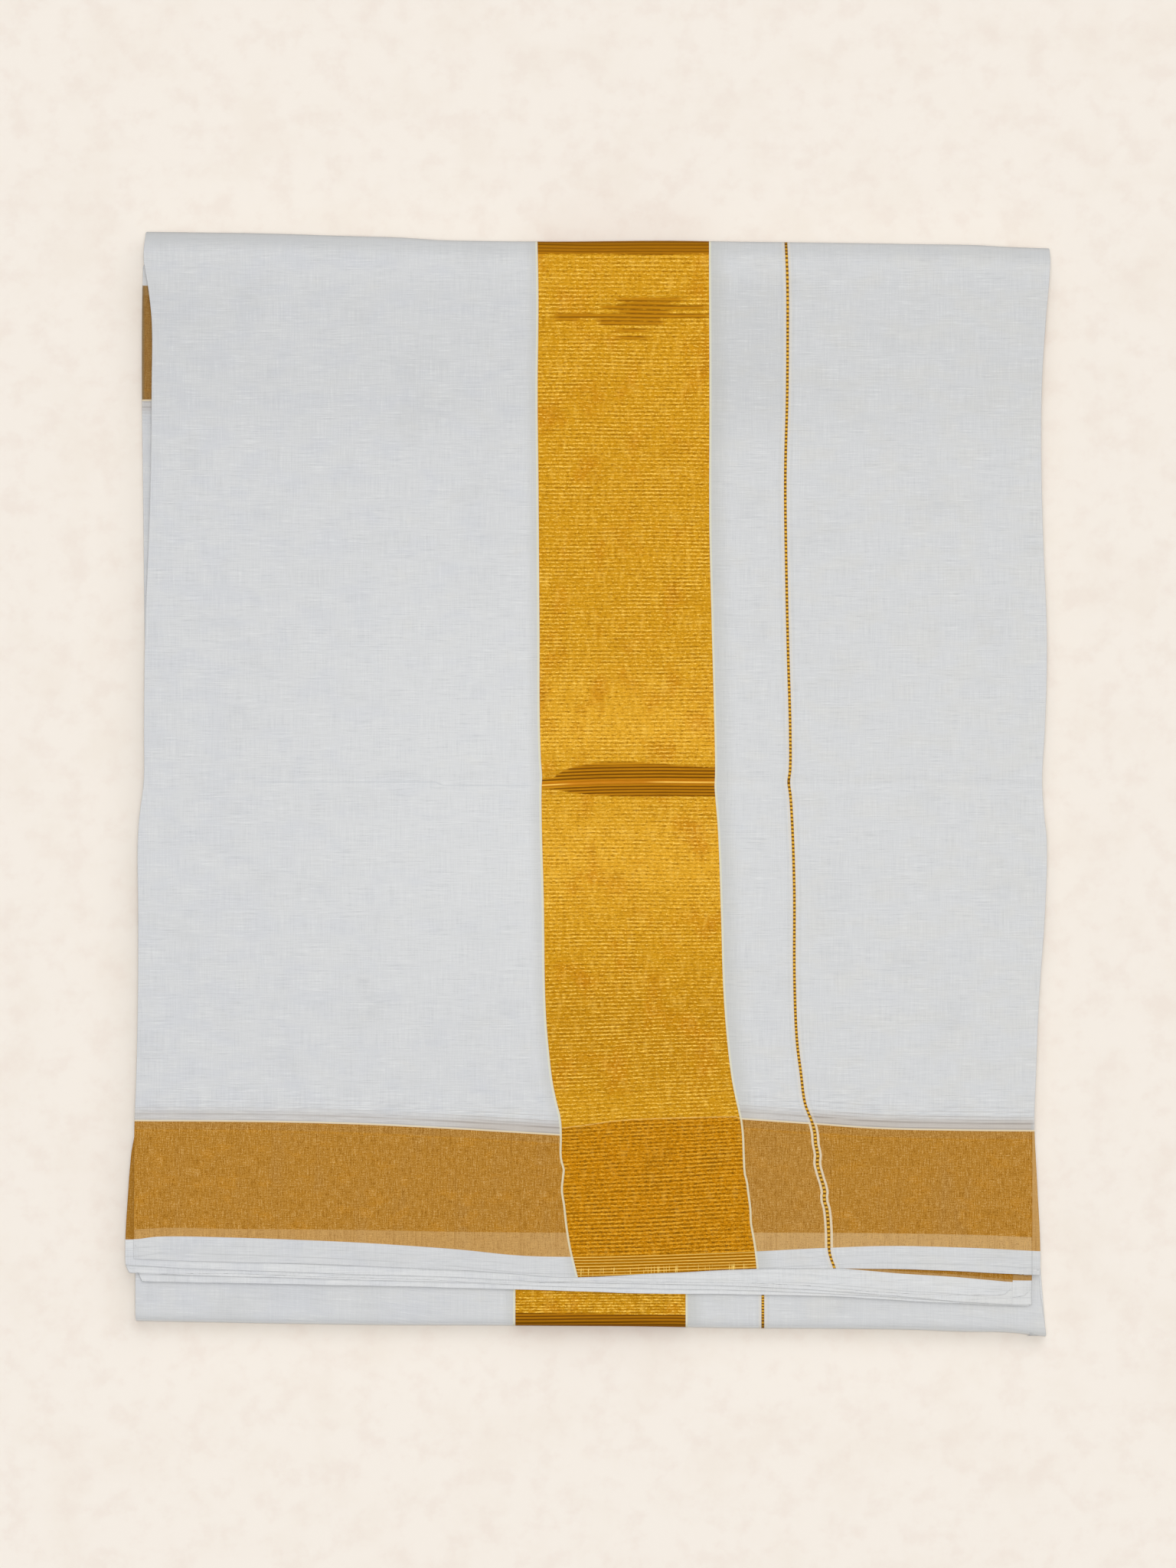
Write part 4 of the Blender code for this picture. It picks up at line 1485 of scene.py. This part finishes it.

        # Painted shade at folds, at the cross crease and beside the gold, and painted light along the
        # bottom fold's edge
        left_end = x.rises(-40.0, -140.0) * 0.2 + 0.55
        top_rim = inside.rises(8.0, 0.5) * left_end * at_low_fold.outside()
        low_rim = inside.rises(5.0, 1.0) * inside.rises(0.6, 1.4) * at_low_fold
        low_edge_highlight = inside.rises(1.2, 0.3) * at_low_fold
        crease = from_crease.line(0.0, 0.45, 0.25) * x.rises(-130.0, -115.0) * x.rises(-18.0, -24.0)
        right_of_band = from_right.rises(9.0, 0.5) * from_right.rises(0.0, 0.8) * 0.45
        left_of_band = from_left.rises(-5.5, -1.0) * from_left.rises(-0.5, -1.0) * 0.32
        beside_line = from_line.distance().line(2.2, 0.8, 0.3) * 0.15
        beside_gold = right_of_band.either(left_of_band).either(beside_line)
        layers = [
            # Painted light: the deeper plies and the left strip are drawn lighter to offset their shade
            (cotton.bright, painted_light_on_plies * 0.42),
            (cotton.shade, depth.rises(*self.last_ply) * 0.1),
            (cotton.warm, tint.rises(0.02, 0.25) * 0.3),
            (cotton.cool, tint.rises(-0.02, -0.25) * 0.5),
            (cotton.shade, cloud.rises(0.0, 0.3) * 0.2),
            (cotton.bright, glow * 0.32),
            (cotton.shade, shown_through * (in_gap * 0.18 + 0.13)),
            (cotton.shade, top_corner * 0.09),
            (cotton.thin, shown.rises(0.0, -0.42) * 0.4),
            (cotton.thick_thread_and_highlight, shown.rises(0.0, 0.42) * 0.38),
            (cotton.band_shade, beside_gold),
            (cotton.stain, stained * 0.85),
            (cotton.reed_mark, from_top.lines(cotton.reed_marks) * fading * marked * 0.9),
            (cotton.shade, from_low.lines(cotton.selvedge_lines) * fading * 0.5),
            (cotton.shade, self.side_fold(x, run) * 0.7),
            (cotton.pressed, crease * 0.55),
            (cotton.shade, top_rim),
            (cotton.shade, low_rim * 0.22),
            # Painted light along the bottom fold's edge
            (cotton.thick_thread_and_highlight, low_edge_highlight * 0.75),
            (cotton.shade, turned * 0.16),
        ]
        return layers, weft * 0.8 + warp * 0.5

    def border_layers(self, tree: bpy.types.NodeTree, in_border: Field) -> list[tuple[str, Field]]:
        """Lists the border's colours with the place of each.

        Args:
            tree: the material's node tree.
            in_border: the border's mask.

        Returns:
            Colours and masks, from the ground up.
        """
        border = self.border
        x, run, depth = self.coordinate(tree, "weave")
        _, from_pale, from_top = self.coordinate(tree, "border")
        sizes = (border.grain, border.cross, border.speck, border.zone, border.patch, border.reed)
        grain, cross, speck, zone, patch, reed = (self.threads(tree, size) for size in sizes)
        mixed = grain * 1.1 + cross * 0.8 + speck * 1.1
        turned_over = run.rises(*self.turned_over)
        reverse = turned_over * (x.rises(-167.2, -168.2) * 0.5 + 0.3)
        right_half = x.rises(-60.0, 60.0) * 0.34 + 0.62
        rolled = x.rises(self.roll_right - 0.15, self.roll_right + 0.15).either(
            x.rises(self.roll_left + 0.15, self.roll_left - 0.15))
        pale = from_pale.rises(0.2, -0.2) * rolled.outside()
        at_top = from_top.line(-3.5, 0.6, 0.3) * speck.rises(-0.1, 0.1)
        tones = [
            (border.grey, zone.rises(0.0, 0.25) * 0.3),
            (border.orange, patch.rises(0.0, 0.2) * 0.6),
            (border.between, self.between_stripes(tree) * 0.35),
            (border.grey, from_top.rises(-3.4, -2.4) * 0.3),
            (border.orange, at_top),
            (border.pale, pale * right_half),
            (border.shadow, mixed.rises(0.0, -0.42) * (pale * -0.4 + 0.88)),
            (border.light, mixed.rises(0.0, 0.42) * 0.79),
            # Painted shade on the border of hidden and turned-over plies
            (border.deeper, depth.rises(*self.deeper_plies) * 0.35),
            (border.deeper, turned_over * 0.3),
            (border.reverse, reverse),
            (border.shadow, self.side_fold(x, run) * 0.35),
            (border.pale, x.rises(self.roll_right - 0.1, self.roll_right + 0.3) * 0.6),
            (border.shadow, reed.rises(0.0, 0.3) * 0.35),
        ]
        return [
            (border.body, in_border),
            *((colour, in_border * where) for colour, where in tones),
            (border.edge_line, from_top.line(0.3, 0.5, 0.15) * 0.8),
        ]

    def band_layers(
        self, tree: bpy.types.NodeTree, in_band: Field, in_border: Field
    ) -> tuple[list[tuple[str, Field]], Field]:
        """Lists the gold band's colours with the place of each.

        Args:
            tree: the material's node tree.
            in_band: the band's mask.
            in_border: the border's mask.

        Returns:
            Colours and masks, from the ground up, and the relief of the ribs.
        """
        gilt = self.gilt
        x, _, _ = self.coordinate(tree, "weave")
        from_left, from_right, _ = self.coordinate(tree, "stripes")
        from_low, _, from_top = self.coordinate(tree, "border")
        press, painted_sheen, from_crease = self.coordinate(tree, "gold")
        place, _, _ = self.coordinate(tree, "ribs")
        sizes = (gilt.beads, gilt.speck, gilt.slub, gilt.slow, gilt.tone, gilt.stray, gilt.streak)
        beads, speck, slub, slow, tone, stray, streak = (self.threads(tree, size) for size in sizes)

        # Ribs, which bend and lie closer at the cross crease
        at_crease = from_crease.distance().rises(6.8, 6.2)
        over = from_crease.rises(-0.2, 0.2)
        ribs = place.ripple(self.rib, self.rib_trough)
        ribs_over = from_crease.ripple(*self.above_crease) * over
        ribs_under = from_crease.ripple(*self.below_crease) * over.outside()
        ribbed = ribs * at_crease.outside() + (ribs_over + ribs_under) * at_crease

        # Where folds and the crease press them flat, with painted shade: a darker body and deeper
        # grooves
        past_top_fold = place.rises(300.0, 320.0)
        pressed = (press + stray * 1.6).rises(-0.3, 0.5)
        hard = at_crease.either(place.rises(194.0, 196.0) * 0.8).either(past_top_fold)
        in_top_fold = place.rises(196.0, 198.0) * place.rises(300.0, 290.0)
        fold_shade = in_top_fold * 0.26 + past_top_fold * 0.2
        fading = at_crease * x.rises(2.0, -16.0)
        flat_ribs = in_band * pressed
        grooves = ribbed.rises(0.65, 0.1) * (hard * 0.25 + 0.68) * (in_top_fold * -0.35 + 1.0)

        # Glitter, which is fainter where the band crosses the border
        crossing = in_border * in_band
        strength = slow * 2.0 + 0.8 + crossing * 0.15 - painted_sheen * 0.1
        glimmer = (beads * 1.1 + speck * 0.8 + slub * 0.45) * (crossing * 0.1 + 1.0)
        lit = (ribs - 0.5) * strength * 0.42 + glimmer
        dark, light = lit.rises(0.0, -0.42), lit.rises(0.04, 0.42)
        glitter = in_band * pressed.outside()

        # The crease's bright line, a painted highlight, the foot of the band and the cords at its sides
        crease_ends = x.rises(-5.0, -12.0).either(x.rises(20.0, 30.0)) * 0.9 + 0.1
        bright_line = from_crease.line(0.0, 0.5, 0.2) * crease_ends
        core = from_crease.line(0.25, 1.8, 0.3) * in_band
        strip = from_low.rises(0.15, -0.15) * in_band * x.rises(80.0, 70.0)
        reed = from_low.ripple(*gilt.reed_pitch)
        ends = self.threads(tree, gilt.ends).rises(0.06, 0.18) * from_low.rises(-3.8, -5.5)
        seam = from_top.line(0.15, 0.4, 0.2) * (beads.rises(-0.2, 0.1) * 0.5 + 0.3)
        cords = from_left.line(-0.45, 0.7).either(from_right.line(0.4, 0.7))
        layers = [
            (gilt.body, in_band),
            # Painted sheen: lighter and darker gold where the band catches or misses the light
            (gilt.sheen_highlight, in_band * painted_sheen.rises(0.0, 1.0) * 0.8),
            (gilt.dull, in_band * painted_sheen.rises(0.0, -1.0) * 0.9),
            (gilt.orange, in_band * tone.rises(0.0, 0.25) * 0.7),
            (gilt.crossing, crossing * 0.9),
            (gilt.shadow, glitter * dark * 0.9),
            (gilt.crossing_shadow, crossing * dark * 0.75),
            (gilt.crossing_shadow, crossing * tone.rises(-0.05, -0.3) * 0.35),
            (gilt.shadow, glitter * streak.rises(0.0, -0.3) * (crossing * 0.2 + 0.25)),
            (gilt.glint, glitter * streak.rises(0.0, 0.3) * (crossing * -0.1 + 0.25)),
            (gilt.glint, glitter * light * (crossing * -0.65 + 0.87)),
            (gilt.crossing_glint, crossing * light * 0.4),
            (gilt.pressed_gold_shade, flat_ribs * (hard * 0.23 + 0.72) * (fading * -0.45 + 1.0)),
            (gilt.pressed_shadow, flat_ribs * fold_shade),
            (gilt.pressed_shadow, flat_ribs * grooves),
            (gilt.crease_orange, core * at_crease * 0.75),
            (gilt.glint, in_band * bright_line * 0.8),
            (gilt.crossing, strip * 0.85),
            (gilt.crossing_shadow, strip * (reed.rises(0.5, 0.0) * 0.5 + 0.12)),
            (gilt.reed_line, strip * reed.rises(0.75, 1.0) * 0.85),
            (gilt.reed_line, strip * ends * 0.8),
            (gilt.seam, in_band * seam),
            (gilt.cord, cords * 0.8),
            (gilt.cord_on_border, cords * in_border * 0.8),
        ]
        return layers, ribbed * 0.7 + beads * pressed.outside()

    def line_layers(
        self, tree: bpy.types.NodeTree, in_line: Field, in_border: Field
    ) -> list[tuple[str, Field]]:
        """Lists the thin line's colours with the place of each.

        Args:
            tree: the material's node tree.
            in_line: the line's mask.
            in_border: the border's mask.

        Returns:
            Colours and masks, from the ground up.
        """
        _, _, from_line = self.coordinate(tree, "stripes")
        press, _, from_crease = self.coordinate(tree, "gold")
        place, _, _ = self.coordinate(tree, "ribs")
        strayed = place + self.threads(tree, self.thin.stray) * 0.6
        stitched = strayed.ripple(self.rib, self.rib_trough).rises(0.15, 0.8)
        cords = from_line.distance().line(self.thin.cord_offset, self.thin.cord_width, 0.15)
        at_crease = from_crease.line(0.0, 1.6, 0.8)
        at_folds = press.rises(0.0, 0.5) * from_crease.distance().rises(40.0, 60.0)
        return [
            (self.thin.cord, cords * (in_border * 0.6 + 0.3)),
            (self.thin.brown, in_line),
            (self.thin.gold, in_line * stitched * 0.85),
            (self.gilt.pressed_shadow, in_line * at_crease * 0.6),
            (self.gilt.pressed_shadow, in_line * at_folds * 0.4),
        ]


@dataclass(frozen=True)
class PlyGroup:
    """Plies whose selvedges end together, on the top panel and again underneath.

    Attributes:
        number: the group's number, from the top.
        loops: numbers of the loops of two plies in it.
        singles: depths of its single plies, whose partner is the first or the last ply.
        step_node: the solid that its end on the top panel stands for.
        under_node: the solid that its end underneath stands for.
    """

    number: int
    loops: tuple[int, ...]
    singles: tuple[float, ...]
    step_node: str
    under_node: str


@dataclass(frozen=True)
class PlannedPiece:
    """A sheet, the solid that it replaces, the record's slot for its finish and what it lies on."""

    sheet: ClothSheet
    node: str
    slot: str
    rests_on: str = "lower_cloth"


@dataclass
class FoldedSaree:
    """The whole saree: its sheets, the rolled sides of its plies and their material.

    Attributes:
        groups: the four groups of plies.
        loops: number of loops of two plies.
        lengths: each stretch's rough length, for the number of its rows.
        cut_side: place of the cut side across the cloth, where the top panel's rows start.
        close_rows: first place, last place and spacing of the top panel's closer rows.
        step_rows: shares of the top panel that get a further row at the steps.
        hidden_from: share of the top panel up to which the plies' ends are drawn as loops.
        hidden_to: share of the lowest panel from which they are.
        turned_under: share of the middle panel that the first ply's return covers.
        strip_starts: share of the middle panel from which the last ply is drawn.
        edge_row: distance of a stretch's second row from its first, and of its last two.
        overlap: share by which two sheets overlap.
        step_width, rolled_width: width of a ply at the steps, and with both its sides turned in.
        step_length, under_length: length of the steps that shows, above and underneath.
        step_thickness: thickness of the cloth at the steps.
        set_back: least distance that a hidden ply's side stands back, and the most that it adds.
        step_set_back: the same where the steps show.
    """

    stack: FoldedStack = field(default_factory=FoldedStack)
    marks: WovenMarks = field(default_factory=WovenMarks)
    gold: PressedGold = field(default_factory=PressedGold)
    plies: PlySections = field(default_factory=PlySections)
    cloth: WovenSaree = field(default_factory=WovenSaree)
    groups: tuple[PlyGroup, ...] = (
        PlyGroup(1, (1,), (0.43,), "top_panel", "left_strip"),
        PlyGroup(2, (2, 3), (), "selvedge_ply_2", "under_ply_2"),
        PlyGroup(3, (4, 5), (), "selvedge_ply_3", "under_ply_3"),
        PlyGroup(4, (6,), (4.4675,), "selvedge_ply_4", "lower_panel"),
    )
    loops: int = 8
    lengths: dict[Stretch, float] = field(default_factory=lambda: {
        Stretch.TOP_PANEL: 386.0, Stretch.TOP_FOLD: 16.0, Stretch.MIDDLE_PANEL: 400.0,
        Stretch.BOTTOM_FOLD: 16.0, Stretch.LOWEST_PANEL: 394.0,
    })
    cut_side: float = -186.0
    close_rows: tuple[tuple[float, float, float], ...] = (
        (-7, 10, 0.9), (166, 186, 0.5), (194, 200, 1.0), (-187, -120, 2.2),
    )
    step_rows: tuple[float, ...] = (0.006, 0.03)
    hidden_from: float = 0.165
    hidden_to: float = 0.945
    turned_under: float = 0.07
    strip_starts: float = 0.86
    edge_row: float = 0.15
    overlap: float = 0.01
    step_width: float = 342.0
    rolled_width: float = 352.0
    step_length: float = 66.0
    under_length: float = 24.0
    step_thickness: float = 0.14
    set_back: tuple[float, float] = (0.5, 0.9)
    step_set_back: tuple[float, float] = (0.04, 0.12)

    def rows(
        self, stretch: Stretch, start: float, end: float, spacing: float, finer: Iterable[float] = ()
    ) -> list[Station]:
        """Lays out the rows of one stretch.

        Args:
            stretch: the stretch.
            start: share of the way at which the rows begin.
            end: share at which they end.
            spacing: distance between rows, in millimetres.
            finer: further shares that get a row.

        Returns:
            The rows' stations.
        """
        length = self.lengths[stretch]
        count = max(2, round((end - start) * length / spacing) + 1)
        at_edges = (start + self.edge_row / length, end - self.edge_row / length)
        further = (share for share in (*finer, *at_edges) if start < share < end)
        shares = sorted({*np.linspace(start, end, count), *further})
        return [Station(stretch, float(share)) for share in shares]

    def shift(self, number: int, right: bool) -> float:
        """Gives how far a hidden loop's side stands back from the stack's side, unevenly."""
        least, more = self.set_back
        return least + more * abs(math.sin(2.3 * number + (1.7 if right else 0.4)))

    def step_shift(self, number: int) -> float:
        """Gives how far a loop's side stands back where the steps show."""
        least, more = self.step_set_back
        return least + more * abs(math.sin(1.9 * number))

    def top_cloth(self) -> ClothSheet:
        """Lays the bundle's first ply: the top panel and the outside of the top fold."""
        fine = [
            (y - self.cut_side) / self.lengths[Stretch.TOP_PANEL]
            for low, high, step in self.close_rows for y in np.arange(low, high, step)
        ]
        way = (
            self.rows(Stretch.TOP_PANEL, 0, 1, spacing=3.6, finer=fine)
            + self.rows(Stretch.TOP_FOLD, 0.05, 1, spacing=0.7)
            + self.rows(Stretch.MIDDLE_PANEL, 0.004, self.turned_under, spacing=4.0)
        )
        section = self.plies.rolled(0.0, 1, fine=True)
        return ClothSheet("top_cloth", (tuple(way),), (section,), (354.0, 430.0), (True,))

    def left_strip(self) -> ClothSheet:
        """Lays the first ply again, on the lowest panel, where it peeps out on the left."""
        way = (
            self.rows(Stretch.BOTTOM_FOLD, 0, 1, spacing=4.0)
            + self.rows(Stretch.LOWEST_PANEL, 0.005, 1, spacing=5.0)
        )
        section, flat = self.plies.rolled(0.0, 1), (self.rolled_width, 395.0)
        return ClothSheet("left_strip_cloth", (tuple(way),), (section,), flat, (True,))

    def lower_cloth(self) -> ClothSheet:
        """Lays the bundle's last ply: the strip before the bottom fold, the fold and the underside."""
        way = (
            self.rows(Stretch.MIDDLE_PANEL, self.strip_starts, 1, spacing=2.5)
            + self.rows(Stretch.BOTTOM_FOLD, 0.05, 1, spacing=0.7)
            + self.rows(Stretch.LOWEST_PANEL, 0.005, 1, spacing=4.0)
        )
        section, flat = self.plies.rolled(self.stack.bundle, -1), (self.rolled_width, 467.0)
        return ClothSheet("lower_cloth", (tuple(way),), (section,), flat, (False,))

    def step_way(self) -> tuple[Station, ...]:
        """Lays out the rows of the plies that end on the top panel."""
        end = self.hidden_from + self.overlap
        return tuple(self.rows(Stretch.TOP_PANEL, 0, end, spacing=8.0, finer=self.step_rows))

    def selvedge_steps(self, group: PlyGroup, upper: bool) -> ClothSheet:
        """Lays a group of plies where their selvedges end.

        Args:
            group: the group.
            upper: whether the selvedges end on the top panel, or else on the lowest one.

        Returns:
            The group's sheets.
        """
        if upper:
            name, way, length = f"step_group_{group.number}", self.step_way(), self.step_length
        else:
            name, length = f"under_group_{group.number}", self.under_length
            way = tuple(self.rows(Stretch.LOWEST_PANEL, self.hidden_to - self.overlap, 1, spacing=6.0))
        sections = [
            self.plies.loop(number, (self.step_shift(number), self.step_shift(number + 1)))
            for number in group.loops
        ]
        sections += [self.plies.flat(depth) for depth in group.singles]
        count = len(sections)
        flat = (self.step_width * (2 * len(group.loops) + len(group.singles)), length)
        return ClothSheet(
            name, (way,) * count, tuple(sections), flat, (True,) * count, self.step_thickness
        )

    def last_step(self) -> ClothSheet:
        """Lays the last ply where its selvedge ends on the top panel."""
        section, flat = self.plies.rolled(self.stack.bundle, -1), (self.rolled_width, self.step_length)
        way = (self.step_way(),)
        return ClothSheet("last_step_cloth", way, (section,), flat, (False,), self.step_thickness)

    def rolled_sides(self) -> ClothSheet:
        """Lays the rolled sides of all the plies that lie hidden in the stack."""
        outer_way = (
            self.rows(Stretch.TOP_PANEL, self.hidden_from, 1, spacing=6.0)
            + self.rows(Stretch.TOP_FOLD, 0.1, 1, spacing=2.0)
            + self.rows(Stretch.MIDDLE_PANEL, 0.01, 1, spacing=6.0)
            + self.rows(Stretch.BOTTOM_FOLD, 0.1, 1, spacing=2.0)
            + self.rows(Stretch.LOWEST_PANEL, 0.01, self.hidden_to, spacing=6.0)
        )
        first_way = self.rows(Stretch.MIDDLE_PANEL, self.turned_under, 1, spacing=6.0)
        last_way = (
            self.rows(Stretch.TOP_PANEL, self.hidden_from, 1, spacing=6.0)
            + self.rows(Stretch.TOP_FOLD, 0.1, 1, spacing=3.0)
            + self.rows(Stretch.MIDDLE_PANEL, 0.01, self.strip_starts, spacing=6.0)
        )
        outer_loops = {0: first_way, self.loops - 1: last_way}
        ways, sections, outward = [], [], []
        for right in (False, True):
            for number in range(self.loops):
                ways.append(tuple(outer_loops.get(number, outer_way)))
                shift = 0.0 if number in outer_loops else self.shift(number, right)
                sections.append(self.plies.lip(number, right, shift))
                outward.append(right)
        flat = (13.0, 15600.0)
        return ClothSheet("rolled_sides", tuple(ways), tuple(sections), flat, tuple(outward), 0.0)

    def plan(self) -> list[PlannedPiece]:
        """Lists every sheet in the order in which it is built, from the underside up."""
        under = [
            PlannedPiece(self.selvedge_steps(group, False), group.under_node, "under_cloth")
            for group in self.groups
        ]
        steps = [
            PlannedPiece(self.selvedge_steps(group, True), group.step_node, "step_cloth")
            for group in reversed(self.groups)
        ]
        return [
            PlannedPiece(self.lower_cloth(), "lower_panel", "lower_cloth", "lower_panel"),
            PlannedPiece(self.left_strip(), "left_strip", "strip_cloth"),
            *under,
            PlannedPiece(self.rolled_sides(), "inner_plies", "folded_edges"),
            PlannedPiece(self.last_step(), "selvedge_ply_4", "step_cloth"),
            *steps,
            PlannedPiece(self.top_cloth(), "top_panel", "top_cloth", "rolled_sides"),
        ]

    def build(self) -> list[bpy.types.Object]:
        """Builds and dresses every sheet, and hides the solid that each replaces.

        Returns:
            The saree's pieces.
        """
        material = self.cloth.dress()
        pieces = []
        for planned in self.plan():
            sheet = planned.sheet
            piece = sheet.build(self.stack, self.marks, self.gold)
            piece.data.materials.append(material)
            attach(piece, "root")
            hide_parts(planned.node)
            flat = (sheet.flat[0] * MM, sheet.flat[1] * MM)
            log.info("%s: %d faces", piece.name, len(piece.data.polygons))
            pieces.append(piece)
        return pieces


@dataclass(frozen=True)
class PaintedBackdrop:
    """A table covered with cream paper, matt and faintly clouded.

    Attributes:
        size: width of the table.
        below: how far its face lies below the saree.
    """

    size: float = 6000.0
    below: float = 0.1
    cream: str = "#F5EDE3"
    cloud: str = "#F1E7DB"
    blush: str = "#EFE3D8"

    def build(self) -> bpy.types.Object:
        """Builds the floor on which the saree lies.

        Returns:
            The floor.
        """
        bpy.ops.mesh.primitive_plane_add(size=self.size * MM, location=(0, 0, -self.below * MM))
        floor = bpy.context.object
        floor.name = "floor"
        material = bpy.data.materials.new("cream_paper")
        material.use_nodes = True
        tree = material.node_tree
        tree.nodes.clear()
        place = add_node(tree, "ShaderNodeTexCoord", output="Object")
        ground = add_node(tree, "ShaderNodeRGB")
        ground.default_value = hex_colour(self.cream)
        for tint, scale in ((self.cloud, 34.0), (self.blush, 90.0)):
            inputs = {"Vector": place, "Scale": scale, "Detail": 5.0, "Roughness": 0.6}
            clouds = Field(tree, add_node(tree, "ShaderNodeTexNoise", inputs)).rises(0.45, 0.7)
            inputs = {0: (clouds * 0.6).socket, 6: ground, 7: hex_colour(tint)}
            ground = add_node(tree, "ShaderNodeMix", inputs, output=2, data_type="RGBA")
        shader = add_node(tree, "ShaderNodeBsdfPrincipled", {
            "Base Color": ground, "Roughness": 0.95, "Specular IOR Level": 0.05})
        add_node(tree, "ShaderNodeOutputMaterial", {"Surface": shader}, output=None)
        floor.data.materials.append(material)
        return floor


@dataclass(frozen=True)
class SoftBox:
    """A large soft light, far enough away to light the whole saree evenly.

    Attributes:
        name: its name.
        tilt: angle from straight above, in degrees.
        turn: direction that it comes from, in degrees from +X.
        spread: angle that it fills, in degrees.
        strength: how strongly it lights what faces it.
        height: where its symbol stands, which doesn't change the light.
    """

    name: str
    tilt: float
    turn: float
    spread: float
    strength: float
    height: float = 2000.0

    def build(self) -> None:
        """Adds the light."""
        lamp = bpy.data.lights.new(self.name, "SUN")
        lamp.energy, lamp.angle = self.strength, math.radians(self.spread)
        light = bpy.data.objects.new(self.name, lamp)
        light.rotation_euler = (0, math.radians(self.tilt), math.radians(self.turn))
        light.location = (0, 0, self.height * MM)
        bpy.context.scene.collection.objects.link(light)


@dataclass(frozen=True)
class Studio:
    """A plain room with a window and two soft boxes, and the camera straight above the saree.

    Attributes:
        picture: height of the picture at the top panel, in millimetres.
        centre: place of the picture's middle along the cloth.
        top: height of the top panel.
        lens: focal length of the camera, long so that the lower plies keep their places.
        sensor: long side of its sensor.
        sky: strength of the light from all round.
        boxes: the soft lights.
    """

    picture: float = 591.9
    centre: float = 0.14
    top: float = 15.3
    lens: float = 400.0
    sensor: float = 36.0
    sky: float = 0.3
    boxes: tuple[SoftBox, ...] = (
        SoftBox("overhead_box", 0.0, 0.0, 12.0, 1.38),
        SoftBox("upper_right_box", 38.0, 62.0, 60.0, 0.6),
        SoftBox("window", 26.0, 92.0, 36.0, 0.4),
    )

    def build(self) -> None:
        """Adds the sky, the soft boxes and the camera, and sets plain colours."""
        scene = bpy.context.scene
        scene.view_settings.view_transform = "Standard"
        world = bpy.data.worlds.new("studio")
        scene.world = world
        world.use_nodes = True
        sky = world.node_tree.nodes["Background"]
        sky.inputs["Color"].default_value = hex_colour("#FFFFFF")
        sky.inputs["Strength"].default_value = self.sky
        for box in self.boxes:
            box.build()
        camera = bpy.data.objects.new("camera", bpy.data.cameras.new("camera"))
        camera.data.lens, camera.data.sensor_width = self.lens, self.sensor
        height = self.top + self.picture * self.lens / self.sensor
        camera.location = (self.centre * MM, 0, height * MM)
        scene.collection.objects.link(camera)
        scene.camera = camera


def main() -> None:
    """Builds the saree, the floor and the studio."""
    logging.basicConfig(level=logging.INFO, format="%(name)s: %(message)s")
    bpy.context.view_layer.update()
    FoldedSaree().build()
    PaintedBackdrop().build()
    Studio().build()


if __name__ == "__main__":
    main()
